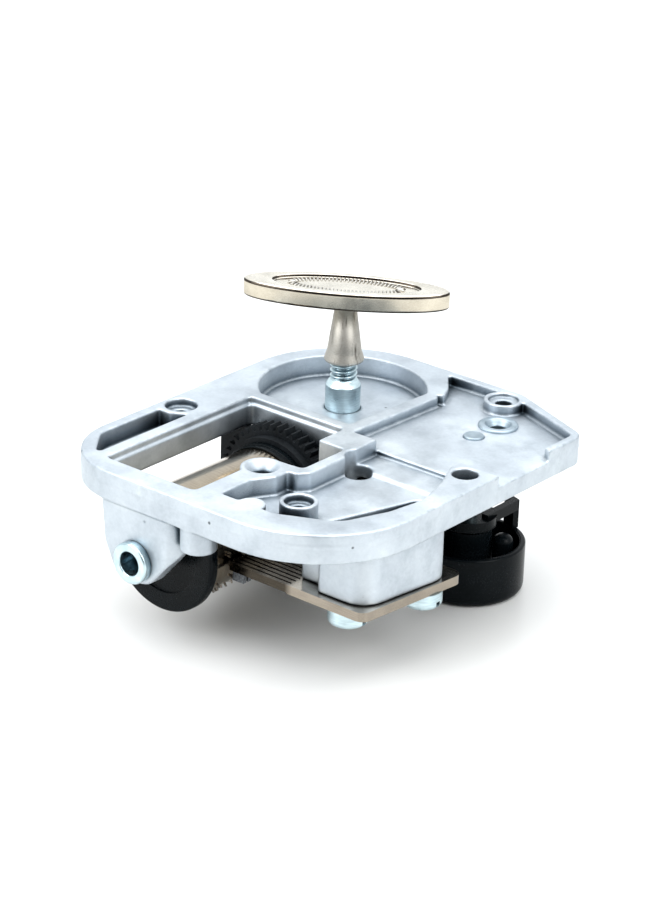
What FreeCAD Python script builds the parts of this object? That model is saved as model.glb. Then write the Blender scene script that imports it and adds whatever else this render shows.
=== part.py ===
import FreeCAD, Part
import math
import os
import re

import Sketcher
from FreeCAD import Placement, Rotation, Vector

# A pinned-cylinder music movement, lying with its mounting face up.
# It stands on its governor cup and its spring housing.
# Plan places run from the casting's left edge (x) and front edge (y), depths run down from the mounting face.
# The origin of the part is under the middle of its box, on the surface that it stands on.

dimensions = (
    # Casting: outline and heights
    ("frameWidth", 41.7, "casting across the cylinder"),
    ("frameLength", 50.0, "casting along the cylinder"),
    ("bushingReach", 0.8, "front bushing ahead of the casting"),
    ("standHeight", 20.2, "mounting face above the surface it stands on"),
    ("skirtHeight", 3.5, "outer height of the plate"),
    ("frontLeftRound", 9.4, "corner radius"),
    ("frontRightRound", 13.4, "corner radius"),
    ("backLeftRound", 13.0, "corner radius, round the winding arbor"),
    ("chamferRound", 2.0, "radius of the cut corner's ends"),
    ("chamferBackX", 29.5, "cut corner on the back edge"),
    ("chamferRightY", 44.9, "cut corner on the right edge"),
    # Casting: window over the cylinder
    ("windowLeft", 6.5, ""),
    ("windowRight", 19.6, ""),
    ("windowFront", 3.0, ""),
    ("windowBack", 27.4, ""),
    ("windowRound", 0.6, "corner radius"),
    ("windowLip", 0.25, "lower part of its left and back walls, proud of the upper part"),
    ("windowLipDepth", 0.9, ""),
    ("windowBackRight", 20.6, "right side of the window at its back"),
    ("bayRight", 24.4, "bay beside the comb tips"),
    ("bayFront", 15.6, ""),
    ("bayBack", 22.9, ""),
    ("bayShoulder", 15.3, "start of the slope into the bay"),
    # Casting: recess round the arbor, with its two ribs
    ("arborX", 12.54, "winding arbor"),
    ("arborY", 37.1, "winding arbor"),
    ("arborHole", 2.2, "radius of the hole round the arbor's collar"),
    ("recessRadius", 9.96, ""),
    ("recessDepth", 2.6, ""),
    ("ribFront", 29.0, "back face of the rib behind the window"),
    ("ribStartX", 20.2, "side rib's left face at its front"),
    ("ribEndX", 20.9, "side rib's left face at its back"),
    ("ribEndY", 42.4, ""),
    ("ribThick", 1.75, ""),
    ("ribLeft", 5.6, "left end of the rib behind the window"),
    # Casting: pocket over the governor
    ("governorFloor", 1.3, "depth of the pocket over the governor"),
    ("pocketCornerX", 19.3, "back left corner"),
    ("pocketBack", 48.75, ""),
    ("pocketBulgeX", 21.7, "round the outside of the recess"),
    ("pocketBulgeY", 45.7, ""),
    ("pocketEndX", 22.9, ""),
    ("pocketEndY", 43.35, ""),
    ("nickX", 22.1, "nick at the end of the side rib"),
    ("nickY", 42.8, ""),
    ("pocketChamferX", 29.2, ""),
    ("pocketRight", 40.65, ""),
    ("pocketRightTop", 44.2, ""),
    ("runoutTurn", 38.8, "end of the rim on the right, cut at a slant"),
    ("runoutBack", 37.4, "the pocket runs out through the rim between here"),
    ("runoutFront", 28.9, "and here"),
    ("runoutPast", 43.5, "beyond the right edge"),
    ("pocketStepX", 36.2, ""),
    ("pocketFront", 27.5, "step down to the comb pocket"),
    # Casting: pocket over the comb, with a ledge behind it and a deeper channel beside its outer wall
    ("combLedge", 1.9, "depth of the ledge"),
    ("combFloor", 2.3, "depth of the pocket"),
    ("channelFloor", 4.6, "depth of the channel"),
    ("ledgeLeft", 25.4, ""),
    ("ledgeBackRight", 36.0, ""),
    ("ledgeFront", 23.2, ""),
    ("ledgeFrontRight", 37.9, ""),
    ("combPocketLeft", 22.3, "beside the window"),
    ("combPocketFront", 4.4, ""),
    ("combPocketTurnX", 29.8, ""),
    ("combPocketBendX", 36.3, ""),
    ("combPocketBendY", 7.6, ""),
    ("combPocketSideX", 38.5, ""),
    ("combPocketSideY", 13.2, ""),
    ("combPocketRight", 39.3, ""),
    ("combPocketRightY", 18.2, ""),
    ("combPocketBayX", 25.9, "beside the bay"),
    ("combPocketBayY", 15.2, ""),
    ("combPocketStepX", 24.9, ""),
    ("combPocketStepY", 13.9, ""),
    ("combPocketNookX", 23.8, ""),
    ("combPocketNookY", 11.8, ""),
    ("combPocketWaistY", 9.3, ""),
    ("combPocketRound", 0.4, "small corners"),
    ("combPocketSweep", 3.5, "large corners"),
    ("channelFrontX", 32.3, ""),
    ("channelFrontY", 10.6, ""),
    ("channelBendX", 36.0, ""),
    ("channelBendY", 8.6, ""),
    ("channelRight", 38.6, ""),
    ("channelRightY", 17.8, ""),
    ("channelBackX", 37.2, ""),
    ("channelBackY", 22.2, ""),
    ("channelEndX", 35.8, ""),
    ("channelEndY", 21.5, ""),
    ("channelRound", 1.0, ""),
    ("backingDepth", 4.2, "underside of the comb pocket"),
    ("backingLeft", 25.0, ""),
    ("backingRight", 37.0, ""),
    ("backingFront", 11.0, ""),
    ("backingBack", 24.0, ""),
    # Casting: slot, bosses and holes
    ("slotLeft", 1.4, ""),
    ("slotRight", 4.85, ""),
    ("slotTipX", 4.3, "the slot's front end follows the round corner"),
    ("slotTipY", 3.6, ""),
    ("slotSideY", 7.4, ""),
    ("slotSweep", 2.5, ""),
    ("slotBackLeft", 17.2, "its back end follows the fixing hole"),
    ("slotBackX", 3.0, ""),
    ("slotBackRight", 18.2, ""),
    ("slotRound", 0.3, "small corners"),
    ("slotDepth", 2.3, ""),
    ("screwHole", 0.95, "radius of the fixing holes"),
    ("sinkDepth", 1.0, "depth of their counterbores"),
    ("leftHoleX", 2.45, ""),
    ("leftHoleY", 19.8, ""),
    ("leftSink", 1.9, "counterbore radius"),
    ("backBossX", 28.6, ""),
    ("backBossY", 47.3, ""),
    ("backBoss", 2.35, "boss radius"),
    ("backSink", 1.8, "counterbore radius"),
    ("backSinkDepth", 0.55, ""),
    ("frontBossX", 29.65, ""),
    ("frontBossY", 8.75, ""),
    ("frontBoss", 2.15, "boss radius"),
    ("frontSink", 1.64, "counterbore radius"),
    ("rightHoleX", 38.5, ""),
    ("rightHoleY", 26.8, ""),
    ("rightHole", 1.5, "radius"),
    ("rimBossX", 26.4, "blind boss on the front rim"),
    ("rimBossY", 4.6, ""),
    ("rimBoss", 1.6, "boss radius"),
    ("midBossX", 20.8, "ring beside the window"),
    ("midBossY", 12.95, ""),
    ("midBoss", 2.52, "boss radius"),
    ("midHole", 1.12, "radius"),
    ("midSink", 1.95, "countersink radius"),
    ("midSinkDepth", 1.05, ""),
    ("wellX", 26.6, "round well behind the comb"),
    ("wellY", 22.75, ""),
    ("wellHole", 1.6, "radius"),
    # Casting: comb pedestal and the post beside the bracket lug
    ("combDepth", 10.3, "pedestal face that the comb is screwed to"),
    ("pedestalLeft", 28.8, ""),
    ("pedestalNotchX", 32.2, ""),
    ("pedestalNotchY", 10.5, ""),
    ("pedestalFront", 9.0, ""),
    ("pedestalFrontRight", 38.9, ""),
    ("pedestalBackRight", 40.7, ""),
    ("pedestalBack", 22.6, ""),
    ("pedestalFrontRound", 3.0, ""),
    ("pedestalBackRound", 2.5, ""),
    ("pedestalNotchRound", 0.5, ""),
    ("postX", 21.15, ""),
    ("postY", 2.1, ""),
    ("postRadius", 2.05, ""),
    ("postDepth", 6.35, ""),
    # Casting: bracket lug for the cylinder's front bearing, with heights above the standing surface
    ("lugFront", 0.3, ""),
    ("lugThick", 2.1, ""),
    ("lugTop", 17.2, "height, inside the plate"),
    ("lugLeftTop", 8.2, ""),
    ("lugLeftLow", 8.7, ""),
    ("lugLeftLowRise", 11.7, ""),
    ("lugToeLeft", 10.5, ""),
    ("lugToeRight", 15.25, ""),
    ("lugToeRise", 7.9, ""),
    ("lugToeRound", 2.5, ""),
    ("lugRightLowRise", 12.6, ""),
    ("lugRight", 19.3, ""),
    ("lugShoulderRound", 1.5, ""),
    ("lugCorner", 2.0, "right edge, rounded off"),
    ("lugCornerRound", 1.95, ""),
    # Cylinder and its axle, along y
    ("cylinderX", 13.4, ""),
    ("cylinderDepth", 9.7, "axis below the mounting face"),
    ("cylinderRadius", 6.5, ""),
    ("cylinderWall", 0.5, ""),
    ("axleRadius", 1.35, ""),
    ("axleFront", 1.6, ""),
    ("axleBack", 29.05, ""),
    ("seatGap", 0.02, "between a wheel's bore and its shaft"),
    ("runGap", 0.05, "radial play of a running fit"),
    ("capFront", 4.5, ""),
    ("capBack", 5.7, ""),
    ("capRadius", 7.5, ""),
    ("capHub", 2.4, "hub radius"),
    ("capHubFront", 3.2, ""),
    ("capHollow", 5.2, "radius of the cap's shallow face recess"),
    ("capHollowDepth", 0.35, ""),
    ("spigotLength", 1.6, "cap and gear spigots inside the cylinder"),
    ("spigotWall", 0.9, ""),
    ("gearFront", 23.2, "front of the gear's flange"),
    ("gearFlange", 7.4, "flange radius"),
    ("gearFlangeThick", 1.0, ""),
    ("gearToothWidth", 1.8, ""),
    ("gearModule", 0.335, "cylinder gear and idler pinion"),
    ("gearTeeth", 50, ""),
    ("gearToothShare", 0.40, "tooth thickness as a share of the pitch"),
    ("gearHub", 3.0, ""),
    ("pinionModule", 0.5, "cylinder pinion and spring gear"),
    ("pinionTeeth", 10, ""),
    ("pinionToothShare", 0.36, ""),
    ("pinionFront", 27.5, ""),
    ("pinionWidth", 1.5, ""),
    ("pinLength", 0.45, "pins beyond the cylinder"),
    ("pinRadius", 0.15, ""),
    ("pinSteps", 36, "beats round the cylinder"),
    ("pinRestStart", 21, "bare beats between the tune's end and its start"),
    ("pinRestEnd", 31, ""),
    # Bushings
    ("bushingFlange", 2.45, "flange radius"),
    ("bushingBarrel", 1.95, "barrel radius"),
    ("bushingBack", 2.95, ""),
    ("bushingRound", 0.4, ""),
    ("rearBarrel", 2.2, ""),
    # Comb
    ("combTip", 20.4, "x of the tooth tips"),
    ("combRoot", 28.9, "x where the slots end"),
    ("combHeelFront", 39.5, "heel's right side at the front"),
    ("combHeelBack", 41.2, "and at the back"),
    ("combFrontY", 8.15, ""),
    ("combPitch", 0.766, "from one tooth to the next"),
    ("combToothBack", 21.698, "back of the last tooth"),
    ("combBackY", 23.9, "back of the heel"),
    ("combThick", 1.1, ""),
    ("combToothThick", 0.95, ""),
    ("combTeeth", 18, ""),
    ("combSlot", 0.24, "slot between two teeth"),
    ("combCorner", 1.2, "heel corner radius"),
    ("combScrewFrontX", 35.6, ""),
    ("combScrewFrontY", 10.5, ""),
    ("combScrewBackX", 38.7, ""),
    ("combScrewBackY", 19.6, ""),
    ("combScrewHole", 1.15, ""),
    ("screwShank", 1.0, ""),
    ("screwShankLength", 5.0, "into the pedestal"),
    ("screwHead", 2.3, ""),
    ("screwHeadHeight", 1.95, ""),
    ("screwHeadRound", 0.7, ""),
    ("screwSlot", 0.6, ""),
    ("bassWeights", 6, "teeth that carry a lead weight"),
    ("bassWeightLength", 1.6, ""),
    ("bassWeightHeight", 1.05, ""),
    # Spring housing, spring and winding parts
    ("wallLeft", 2.95, ""),
    ("wallRight", 20.9, ""),
    ("wallFront", 26.3, ""),
    ("wallThick", 1.0, ""),
    ("footLeft", 5.9, "foot under the cylinder gear"),
    ("footFront", 22.3, ""),
    ("footThick", 1.2, ""),
    ("housingGap", 0.05, "between housing and plate"),
    ("chamberRadius", 10.2, "outside of the gear chamber"),
    ("chamberBore", 9.7, ""),
    ("chamberFloor", 8.2, "depth"),
    ("chamberBase", 9.0, "depth"),
    ("drumRadius", 7.9, ""),
    ("drumBore", 7.2, ""),
    ("drumFloor", 19.2, "depth"),
    ("pinionBay", 3.5, "half width of the opening for the pinion"),
    ("pinionBayBack", 29.3, ""),
    ("pinionBayTop", 6.0, "depth"),
    ("pinionBayBase", 13.3, "depth"),
    ("earRadius", 1.5, ""),
    ("earDepth", 9.0, ""),
    ("earLeftX", 4.76, ""),
    ("earLeftY", 44.88, ""),
    ("earRightX", 20.9, ""),
    ("earRightY", 29.2, ""),
    ("earHole", 0.8, ""),
    ("earScrewReach", 2.0, "into the plate"),
    ("earHead", 1.4, ""),
    ("earHeadHeight", 1.0, ""),
    ("earHeadRound", 0.4, ""),
    ("springInner", 2.6, "inside radius of the wound spring"),
    ("springStep", 0.8, "radius gained in each turn"),
    ("springTurns", 5, ""),
    ("springThick", 0.35, ""),
    ("springTop", 9.4, "depth"),
    ("springBase", 18.9, "depth"),
    ("arborCore", 2.1, ""),
    ("arborPivot", 1.1, ""),
    ("arborFoot", 0.3, "pivot end above the standing surface"),
    ("collarTop", 0.4, "height above the mounting face"),
    ("threadStart", 1.1, "height"),
    ("threadEnd", 5.7, "height"),
    ("threadRadius", 1.62, ""),
    ("threadPitch", 0.7, ""),
    ("threadDepth", 0.32, ""),
    ("threadTurns", 5, ""),
    ("ratchetTop", 4.0, "depth"),
    ("ratchetThick", 1.1, ""),
    ("ratchetRoot", 3.4, ""),
    ("ratchetTip", 4.1, ""),
    ("ratchetTeeth", 12, ""),
    ("springGearTop", 5.4, "depth"),
    ("springGearThick", 1.2, ""),
    ("springGearRadius", 9.3, ""),
    ("springGearRing", 8.0, "inside of its crown teeth"),
    ("springGearTeeth", 34, ""),
    ("crownHeight", 0.95, ""),
    ("crownRootWidth", 0.78, ""),
    ("crownTipWidth", 0.42, ""),
    ("clickRadius", 5.6, "click pivot from the arbor's axis"),
    ("clickWidth", 1.2, ""),
    ("clickLength", 3.4, ""),
    ("clickHeight", 1.0, ""),
    # Key
    ("keyStemBase", 3.45, "height"),
    ("keyStemTop", 10.8, "height"),
    ("keyStemWide", 2.35, "radius at the bottom"),
    ("keyStemNarrow", 1.2, "radius at the top"),
    ("keyStemBand", 0.35, "straight band at the bottom"),
    ("keyStemWaist", 2.06, "radius where the flare at the bottom starts"),
    ("keyStemFlare", 1.25, "height of that flare"),
    ("keyStemRound", 0.2, ""),
    ("keyBore", 1.66, ""),
    ("keyBoreTop", 5.9, "height"),
    ("knobThick", 2.2, ""),
    ("knobLong", 12.15, "half length of the oval"),
    ("knobShort", 3.6, "half width of the oval"),
    ("knobPanelShare", 0.72, "sunk panel against the whole oval"),
    ("knobPanelDepth", 0.35, ""),
    ("knobTurn", 31.7, "degrees from x at rest"),
    # Idler: pinion, worm wheel and axle, along y
    ("idlerX", 26.48, ""),
    ("idlerDepth", 8.8, ""),
    ("idlerTeeth", 28, ""),
    ("idlerFront", 24.5, ""),
    ("idlerWidth", 1.4, ""),
    ("idlerAxle", 0.7, ""),
    ("idlerAxleFront", 23.9, ""),
    ("idlerAxleBack", 41.6, ""),
    ("wormWheelTeeth", 24, ""),
    ("wormWheelWidth", 1.1, ""),
    ("wormWheelShare", 0.36, ""),
    ("idlerHub", 1.5, ""),
    # Governor, along z
    ("governorX", 31.0, ""),
    ("governorY", 38.4, ""),
    ("wormPitchRadius", 1.2, ""),
    ("wormShaft", 0.8, ""),
    ("wormTop", 6.2, "depth"),
    ("wormBase", 10.7, "depth"),
    ("wormThreadShare", 0.30, "thread thickness as a share of the pitch"),
    ("governorPivot", 0.45, ""),
    ("governorPivotTop", 2.6, "depth"),
    ("governorPivotBase", 19.6, "depth"),
    ("rotorTop", 12.6, "depth"),
    ("rotorRadius", 2.75, ""),
    ("rotorBase", 17.6, "depth"),
    ("carrierRadius", 5.2, "disc at the rotor's base that carries the weights"),
    ("carrierThick", 0.8, ""),
    ("weightRadius", 1.2, ""),
    ("weightOffset", 4.1, "weights from the axis"),
    ("weightTop", 13.2, "depth"),
    ("weightTurn", 27.0, "degrees from x at rest"),
    ("weightRound", 1.0, "domed top"),
    ("cupRadius", 6.7, ""),
    ("cupBore", 5.95, ""),
    ("cupTop", 14.1, "depth"),
    ("cupFloor", 1.0, "thickness"),
    ("cupRound", 0.9, ""),
    ("cupPost", 1.5, "radius of the bearing post in the cup"),
    ("cupPostRise", 1.0, ""),
    ("bracketTop", 3.5, "depth"),
    ("bracketThick", 1.5, ""),
    ("bracketLeft", 24.8, ""),
    ("bracketRight", 35.2, ""),
    ("bracketFront", 27.6, ""),
    ("bracketWaist", 28.2, "x of its front tongue's right side"),
    ("bracketShoulder", 31.8, "y where it widens"),
    ("bracketBack", 45.3, ""),
    ("bracketRound", 1.0, ""),
    ("armWide", 3.0, ""),
    ("armThick", 1.0, ""),
    ("armDepth", 10.4, ""),
    ("armBackY", 40.3, ""),
    ("webLeft", 32.75, "strut from the worm's lower bearing to the back post"),
    ("webRight", 33.65, ""),
    ("webBack", 44.4, ""),
    ("webTop", 10.55, "depth"),
    ("webBase", 11.85, "depth"),
    ("hubRadius", 3.2, "worm's lower bearing over the rotor"),
    ("hubLeft", 29.75, "flat side that clears the worm wheel"),
    ("hubTop", 11.0, "depth"),
    ("hubBase", 12.2, "depth"),
    ("strutFront", 32.1, "strut from the bearing to the front post"),
    ("strutWide", 0.9, ""),
    ("bracketPostSpan", 17.0, "degrees of the cup's rim under each post"),
    ("bracketPostTurn", 75.0, "degrees from x to the first post"),
    ("rivetX", 31.3, ""),
    ("rivetY", 42.7, ""),
    ("rivetFlange", 2.37, ""),
    ("rivetBarrel", 1.9, ""),
    ("rivetBore", 1.05, ""),
    ("rivetMouth", 1.55, "radius of its dished mouth"),
    ("rivetDish", 0.6, "depth of the dish"),
    ("rivetProud", 0.4, ""),
    ("rivetRound", 0.18, ""),
    ("plugRadius", 1.2, ""),
    ("plugChamfer", 0.15, ""),
)

doc = FreeCAD.newDocument("MusicMovement")
sheet = doc.addObject("Spreadsheet::Sheet", "Dims")
for row, (alias, value, note) in enumerate(dimensions, start=1):
    sheet.set(f"A{row}", alias)
    sheet.set(f"B{row}", str(value))
    sheet.set(f"C{row}", note)
    sheet.setAlias(f"B{row}", alias)
doc.recompute()

alongY = Rotation(Vector(1, 0, 0), -90)
upright = Rotation()
originX = "frameWidth / 2"
originY = "(frameLength - bushingReach) / 2"


def size(alias):
    return float(sheet.get(alias))


def worth(text):
    # Value of a sum such as "ribEndX + ribThick".
    total = 0.0
    sign = 1
    for word in text.split():
        if word in ("+", "-"):
            sign = 1 if word == "+" else -1
        else:
            total += sign * (size(word) if word[0].isalpha() else float(word))
    return total


def bound(text):
    # The same sum written against the sheet's cells.
    return re.sub(r"[A-Za-z]\w*", lambda word: "Dims." + word.group(), text)


def settle(piece, x="0", y="0", depth="0", turn=upright):
    # Moves a piece from plan places and depths to the part's own frame.
    piece.Placement = Placement(Vector(), turn)
    piece.setExpression("Placement.Base.x", bound(f"{x} - {originX}"))
    piece.setExpression("Placement.Base.y", bound(f"{y} - {originY}"))
    piece.setExpression("Placement.Base.z", bound(f"standHeight - ({depth})"))
    return piece


def newBody(node):
    body = doc.addObject("PartDesign::Body", node)
    body.Label = node
    return body


def sketchOn(body, plane="XY_Plane", depth="0", rise="0"):
    sketch = body.newObject("Sketcher::SketchObject", body.Name + "_sketch")
    support = next(datum for datum in body.Origin.OriginFeatures if datum.Role == plane)
    sketch.AttachmentSupport = [(support, "")]
    sketch.MapMode = "FlatFace"
    sketch.setExpression("AttachmentOffset.Base.z", bound(f"-({depth})"))
    sketch.setExpression("AttachmentOffset.Base.y", bound(rise))
    return sketch


def measure(sketch, kind, text, *where):
    index = sketch.addConstraint(Sketcher.Constraint(kind, *where, worth(text)))
    sketch.setExpression(f"Constraints[{index}]", bound(text))


def pinPoint(sketch, element, point, x, y):
    # Holds a point of a sketch at a place given by two sums.
    for kind, text, axis in (("DistanceX", x, -2), ("DistanceY", y, -1)):
        if text == "0":
            sketch.addConstraint(Sketcher.Constraint("PointOnObject", element, point, axis))
        else:
            measure(sketch, kind, text, -1, 1, element, point)


def drawCircle(sketch, x, y, radius):
    centre = Vector(worth(x), worth(y), 0)
    ring = sketch.addGeometry(Part.Circle(centre, Vector(0, 0, 1), worth(radius)))
    pinPoint(sketch, ring, 3, x, y)
    measure(sketch, "Radius", radius, ring)


def cornerPoints(before, corner, after, radius):
    # Where a rounded corner leaves its two sides, and the centre of its arc.
    back = (before - corner).normalize()
    ahead = (after - corner).normalize()
    half = back.getAngle(ahead) / 2
    reach = radius / math.tan(half)
    middle = (back + ahead).normalize()
    return corner + back * reach, corner + ahead * reach, corner + middle * (radius / math.sin(half))


def drawLoop(sketch, corners):
    # A closed outline of straight sides; a corner (x, y, radius) is rounded.
    spots = [Vector(worth(corner[0]), worth(corner[1]), 0) for corner in corners]
    count = len(spots)
    bends = []
    for i, corner in enumerate(corners):
        bend = None
        if len(corner) == 3:
            bend = cornerPoints(spots[i - 1], spots[i], spots[(i + 1) % count], worth(corner[2]))
        bends.append(bend)
    sides = []
    for i in range(count):
        start = bends[i][1] if bends[i] else spots[i]
        after = (i + 1) % count
        end = bends[after][0] if bends[after] else spots[after]
        sides.append(sketch.addGeometry(Part.LineSegment(start, end)))
    for i, corner in enumerate(corners):
        before = sides[i - 1]
        after = sides[i]
        if not bends[i]:
            sketch.addConstraint(Sketcher.Constraint("Coincident", before, 2, after, 1))
            pinPoint(sketch, after, 1, corner[0], corner[1])
            continue
        into, out, centre = bends[i]
        left = (spots[i] - spots[i - 1]).cross(spots[(i + 1) % count] - spots[i]).z > 0
        first, last = (into, out) if left else (out, into)
        angles = [math.atan2(end.y - centre.y, end.x - centre.x) for end in (first, last)]
        if angles[1] < angles[0]:
            angles[1] += 2 * math.pi
        circle = Part.Circle(centre, Vector(0, 0, 1), worth(corner[2]))
        arc = sketch.addGeometry(Part.ArcOfCircle(circle, angles[0], angles[1]))
        sketch.addConstraint(Sketcher.Constraint("Tangent", before, 2, arc, 1 if left else 2))
        sketch.addConstraint(Sketcher.Constraint("Tangent", after, 1, arc, 2 if left else 1))
        measure(sketch, "Radius", corner[2], arc)
        sharp = sketch.addGeometry(Part.Point(spots[i]), True)
        sketch.addConstraint(Sketcher.Constraint("PointOnObject", sharp, 1, before))
        sketch.addConstraint(Sketcher.Constraint("PointOnObject", sharp, 1, after))
        pinPoint(sketch, sharp, 1, corner[0], corner[1])


def rectangle(left, right, front, back, *radius):
    return [(left, front, *radius), (right, front, *radius), (right, back, *radius), (left, back, *radius)]


def feature(body, kind, sketch, **sums):
    made = body.newObject("PartDesign::" + kind, f"{body.Name}_{kind.lower()}")
    made.Profile = sketch
    for name, text in sums.items():
        made.setExpression(name, bound(text))
    return made


def padDown(body, outline, length, depth="0"):
    sketch = sketchOn(body, depth=depth)
    drawLoop(sketch, outline)
    made = feature(body, "Pad", sketch, Length=length)
    made.Reversed = True


def padRound(body, x, y, radius, length, depth="0"):
    sketch = sketchOn(body, depth=depth)
    drawCircle(sketch, x, y, radius)
    made = feature(body, "Pad", sketch, Length=length)
    made.Reversed = True


def pocketDown(body, outline, length, depth="0"):
    sketch = sketchOn(body, depth=depth)
    drawLoop(sketch, outline)
    return feature(body, "Pocket", sketch, Length=length)


def drillDown(body, x, y, radius, length, depth="0"):
    sketch = sketchOn(body, depth=depth)
    drawCircle(sketch, x, y, radius)
    feature(body, "Pocket", sketch, Length=length)


def turned(node, profile):
    # A body of revolution about its own z axis, from a loop of (radius, height) corners.
    body = newBody(node)
    sketch = sketchOn(body, "XZ_Plane")
    drawLoop(sketch, profile)
    spin = feature(body, "Revolution", sketch)
    spin.ReferenceAxis = (sketch, ["V_Axis"])
    spin.Angle = 360
    return body


def repeat(body, name, original, step, count):
    # Repeats a feature along its sketch's own upright axis.
    doc.recompute()
    copies = body.newObject("PartDesign::LinearPattern", name)
    copies.Originals = [original]
    copies.Direction = (original.Profile[0], ["V_Axis"])
    copies.Mode = "Spacing"
    copies.setExpression("Offset", bound(step))
    copies.setExpression("Occurrences", bound(count))
    body.Tip = copies


def solidPiece(node, shape):
    piece = doc.addObject("Part::Feature", node)
    piece.Label = node
    piece.Shape = shape
    return piece


def polar(radius, angle, height=0.0):
    return Vector(radius * math.cos(angle), radius * math.sin(angle), height)


def arcThrough(radius, start, end):
    return Part.Arc(polar(radius, start), polar(radius, (start + end) / 2), polar(radius, end)).toShape()


def toothedDisc(teeth, root, tip, rootHalf, tipHalf, bore, width, phase):
    # A straight-flanked wheel with one tooth centred on the phase angle.
    pitch = 2 * math.pi / teeth
    edges = []
    for k in range(teeth):
        mid = phase + k * pitch
        edges.append(Part.LineSegment(polar(root, mid - rootHalf), polar(tip, mid - tipHalf)).toShape())
        edges.append(arcThrough(tip, mid - tipHalf, mid + tipHalf))
        edges.append(Part.LineSegment(polar(tip, mid + tipHalf), polar(root, mid + rootHalf)).toShape())
        edges.append(arcThrough(root, mid + rootHalf, mid + pitch - rootHalf))
    disc = Part.Face(Part.Wire(edges)).extrude(Vector(0, 0, width))
    return disc.cut(Part.makeCylinder(bore, width)) if bore else disc


def spurWheel(teeth, module, share, bore, width, phase=0.0):
    # Tooth flanks lean in by about 20 degrees from the pitch line.
    pitchRadius = teeth * module / 2
    half = share * math.pi * module / 2
    tip = pitchRadius + module
    root = pitchRadius - 1.25 * module
    lean = math.tan(math.radians(20))
    tipHalf = max(half - module * lean, 0.25 * half) / tip
    rootHalf = (half + 0.9 * module * lean) / root
    return toothedDisc(teeth, root, tip, rootHalf, tipHalf, bore, width, phase)


def disc(radius, start, end):
    return Part.makeCylinder(radius, end - start, Vector(0, 0, start))


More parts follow.
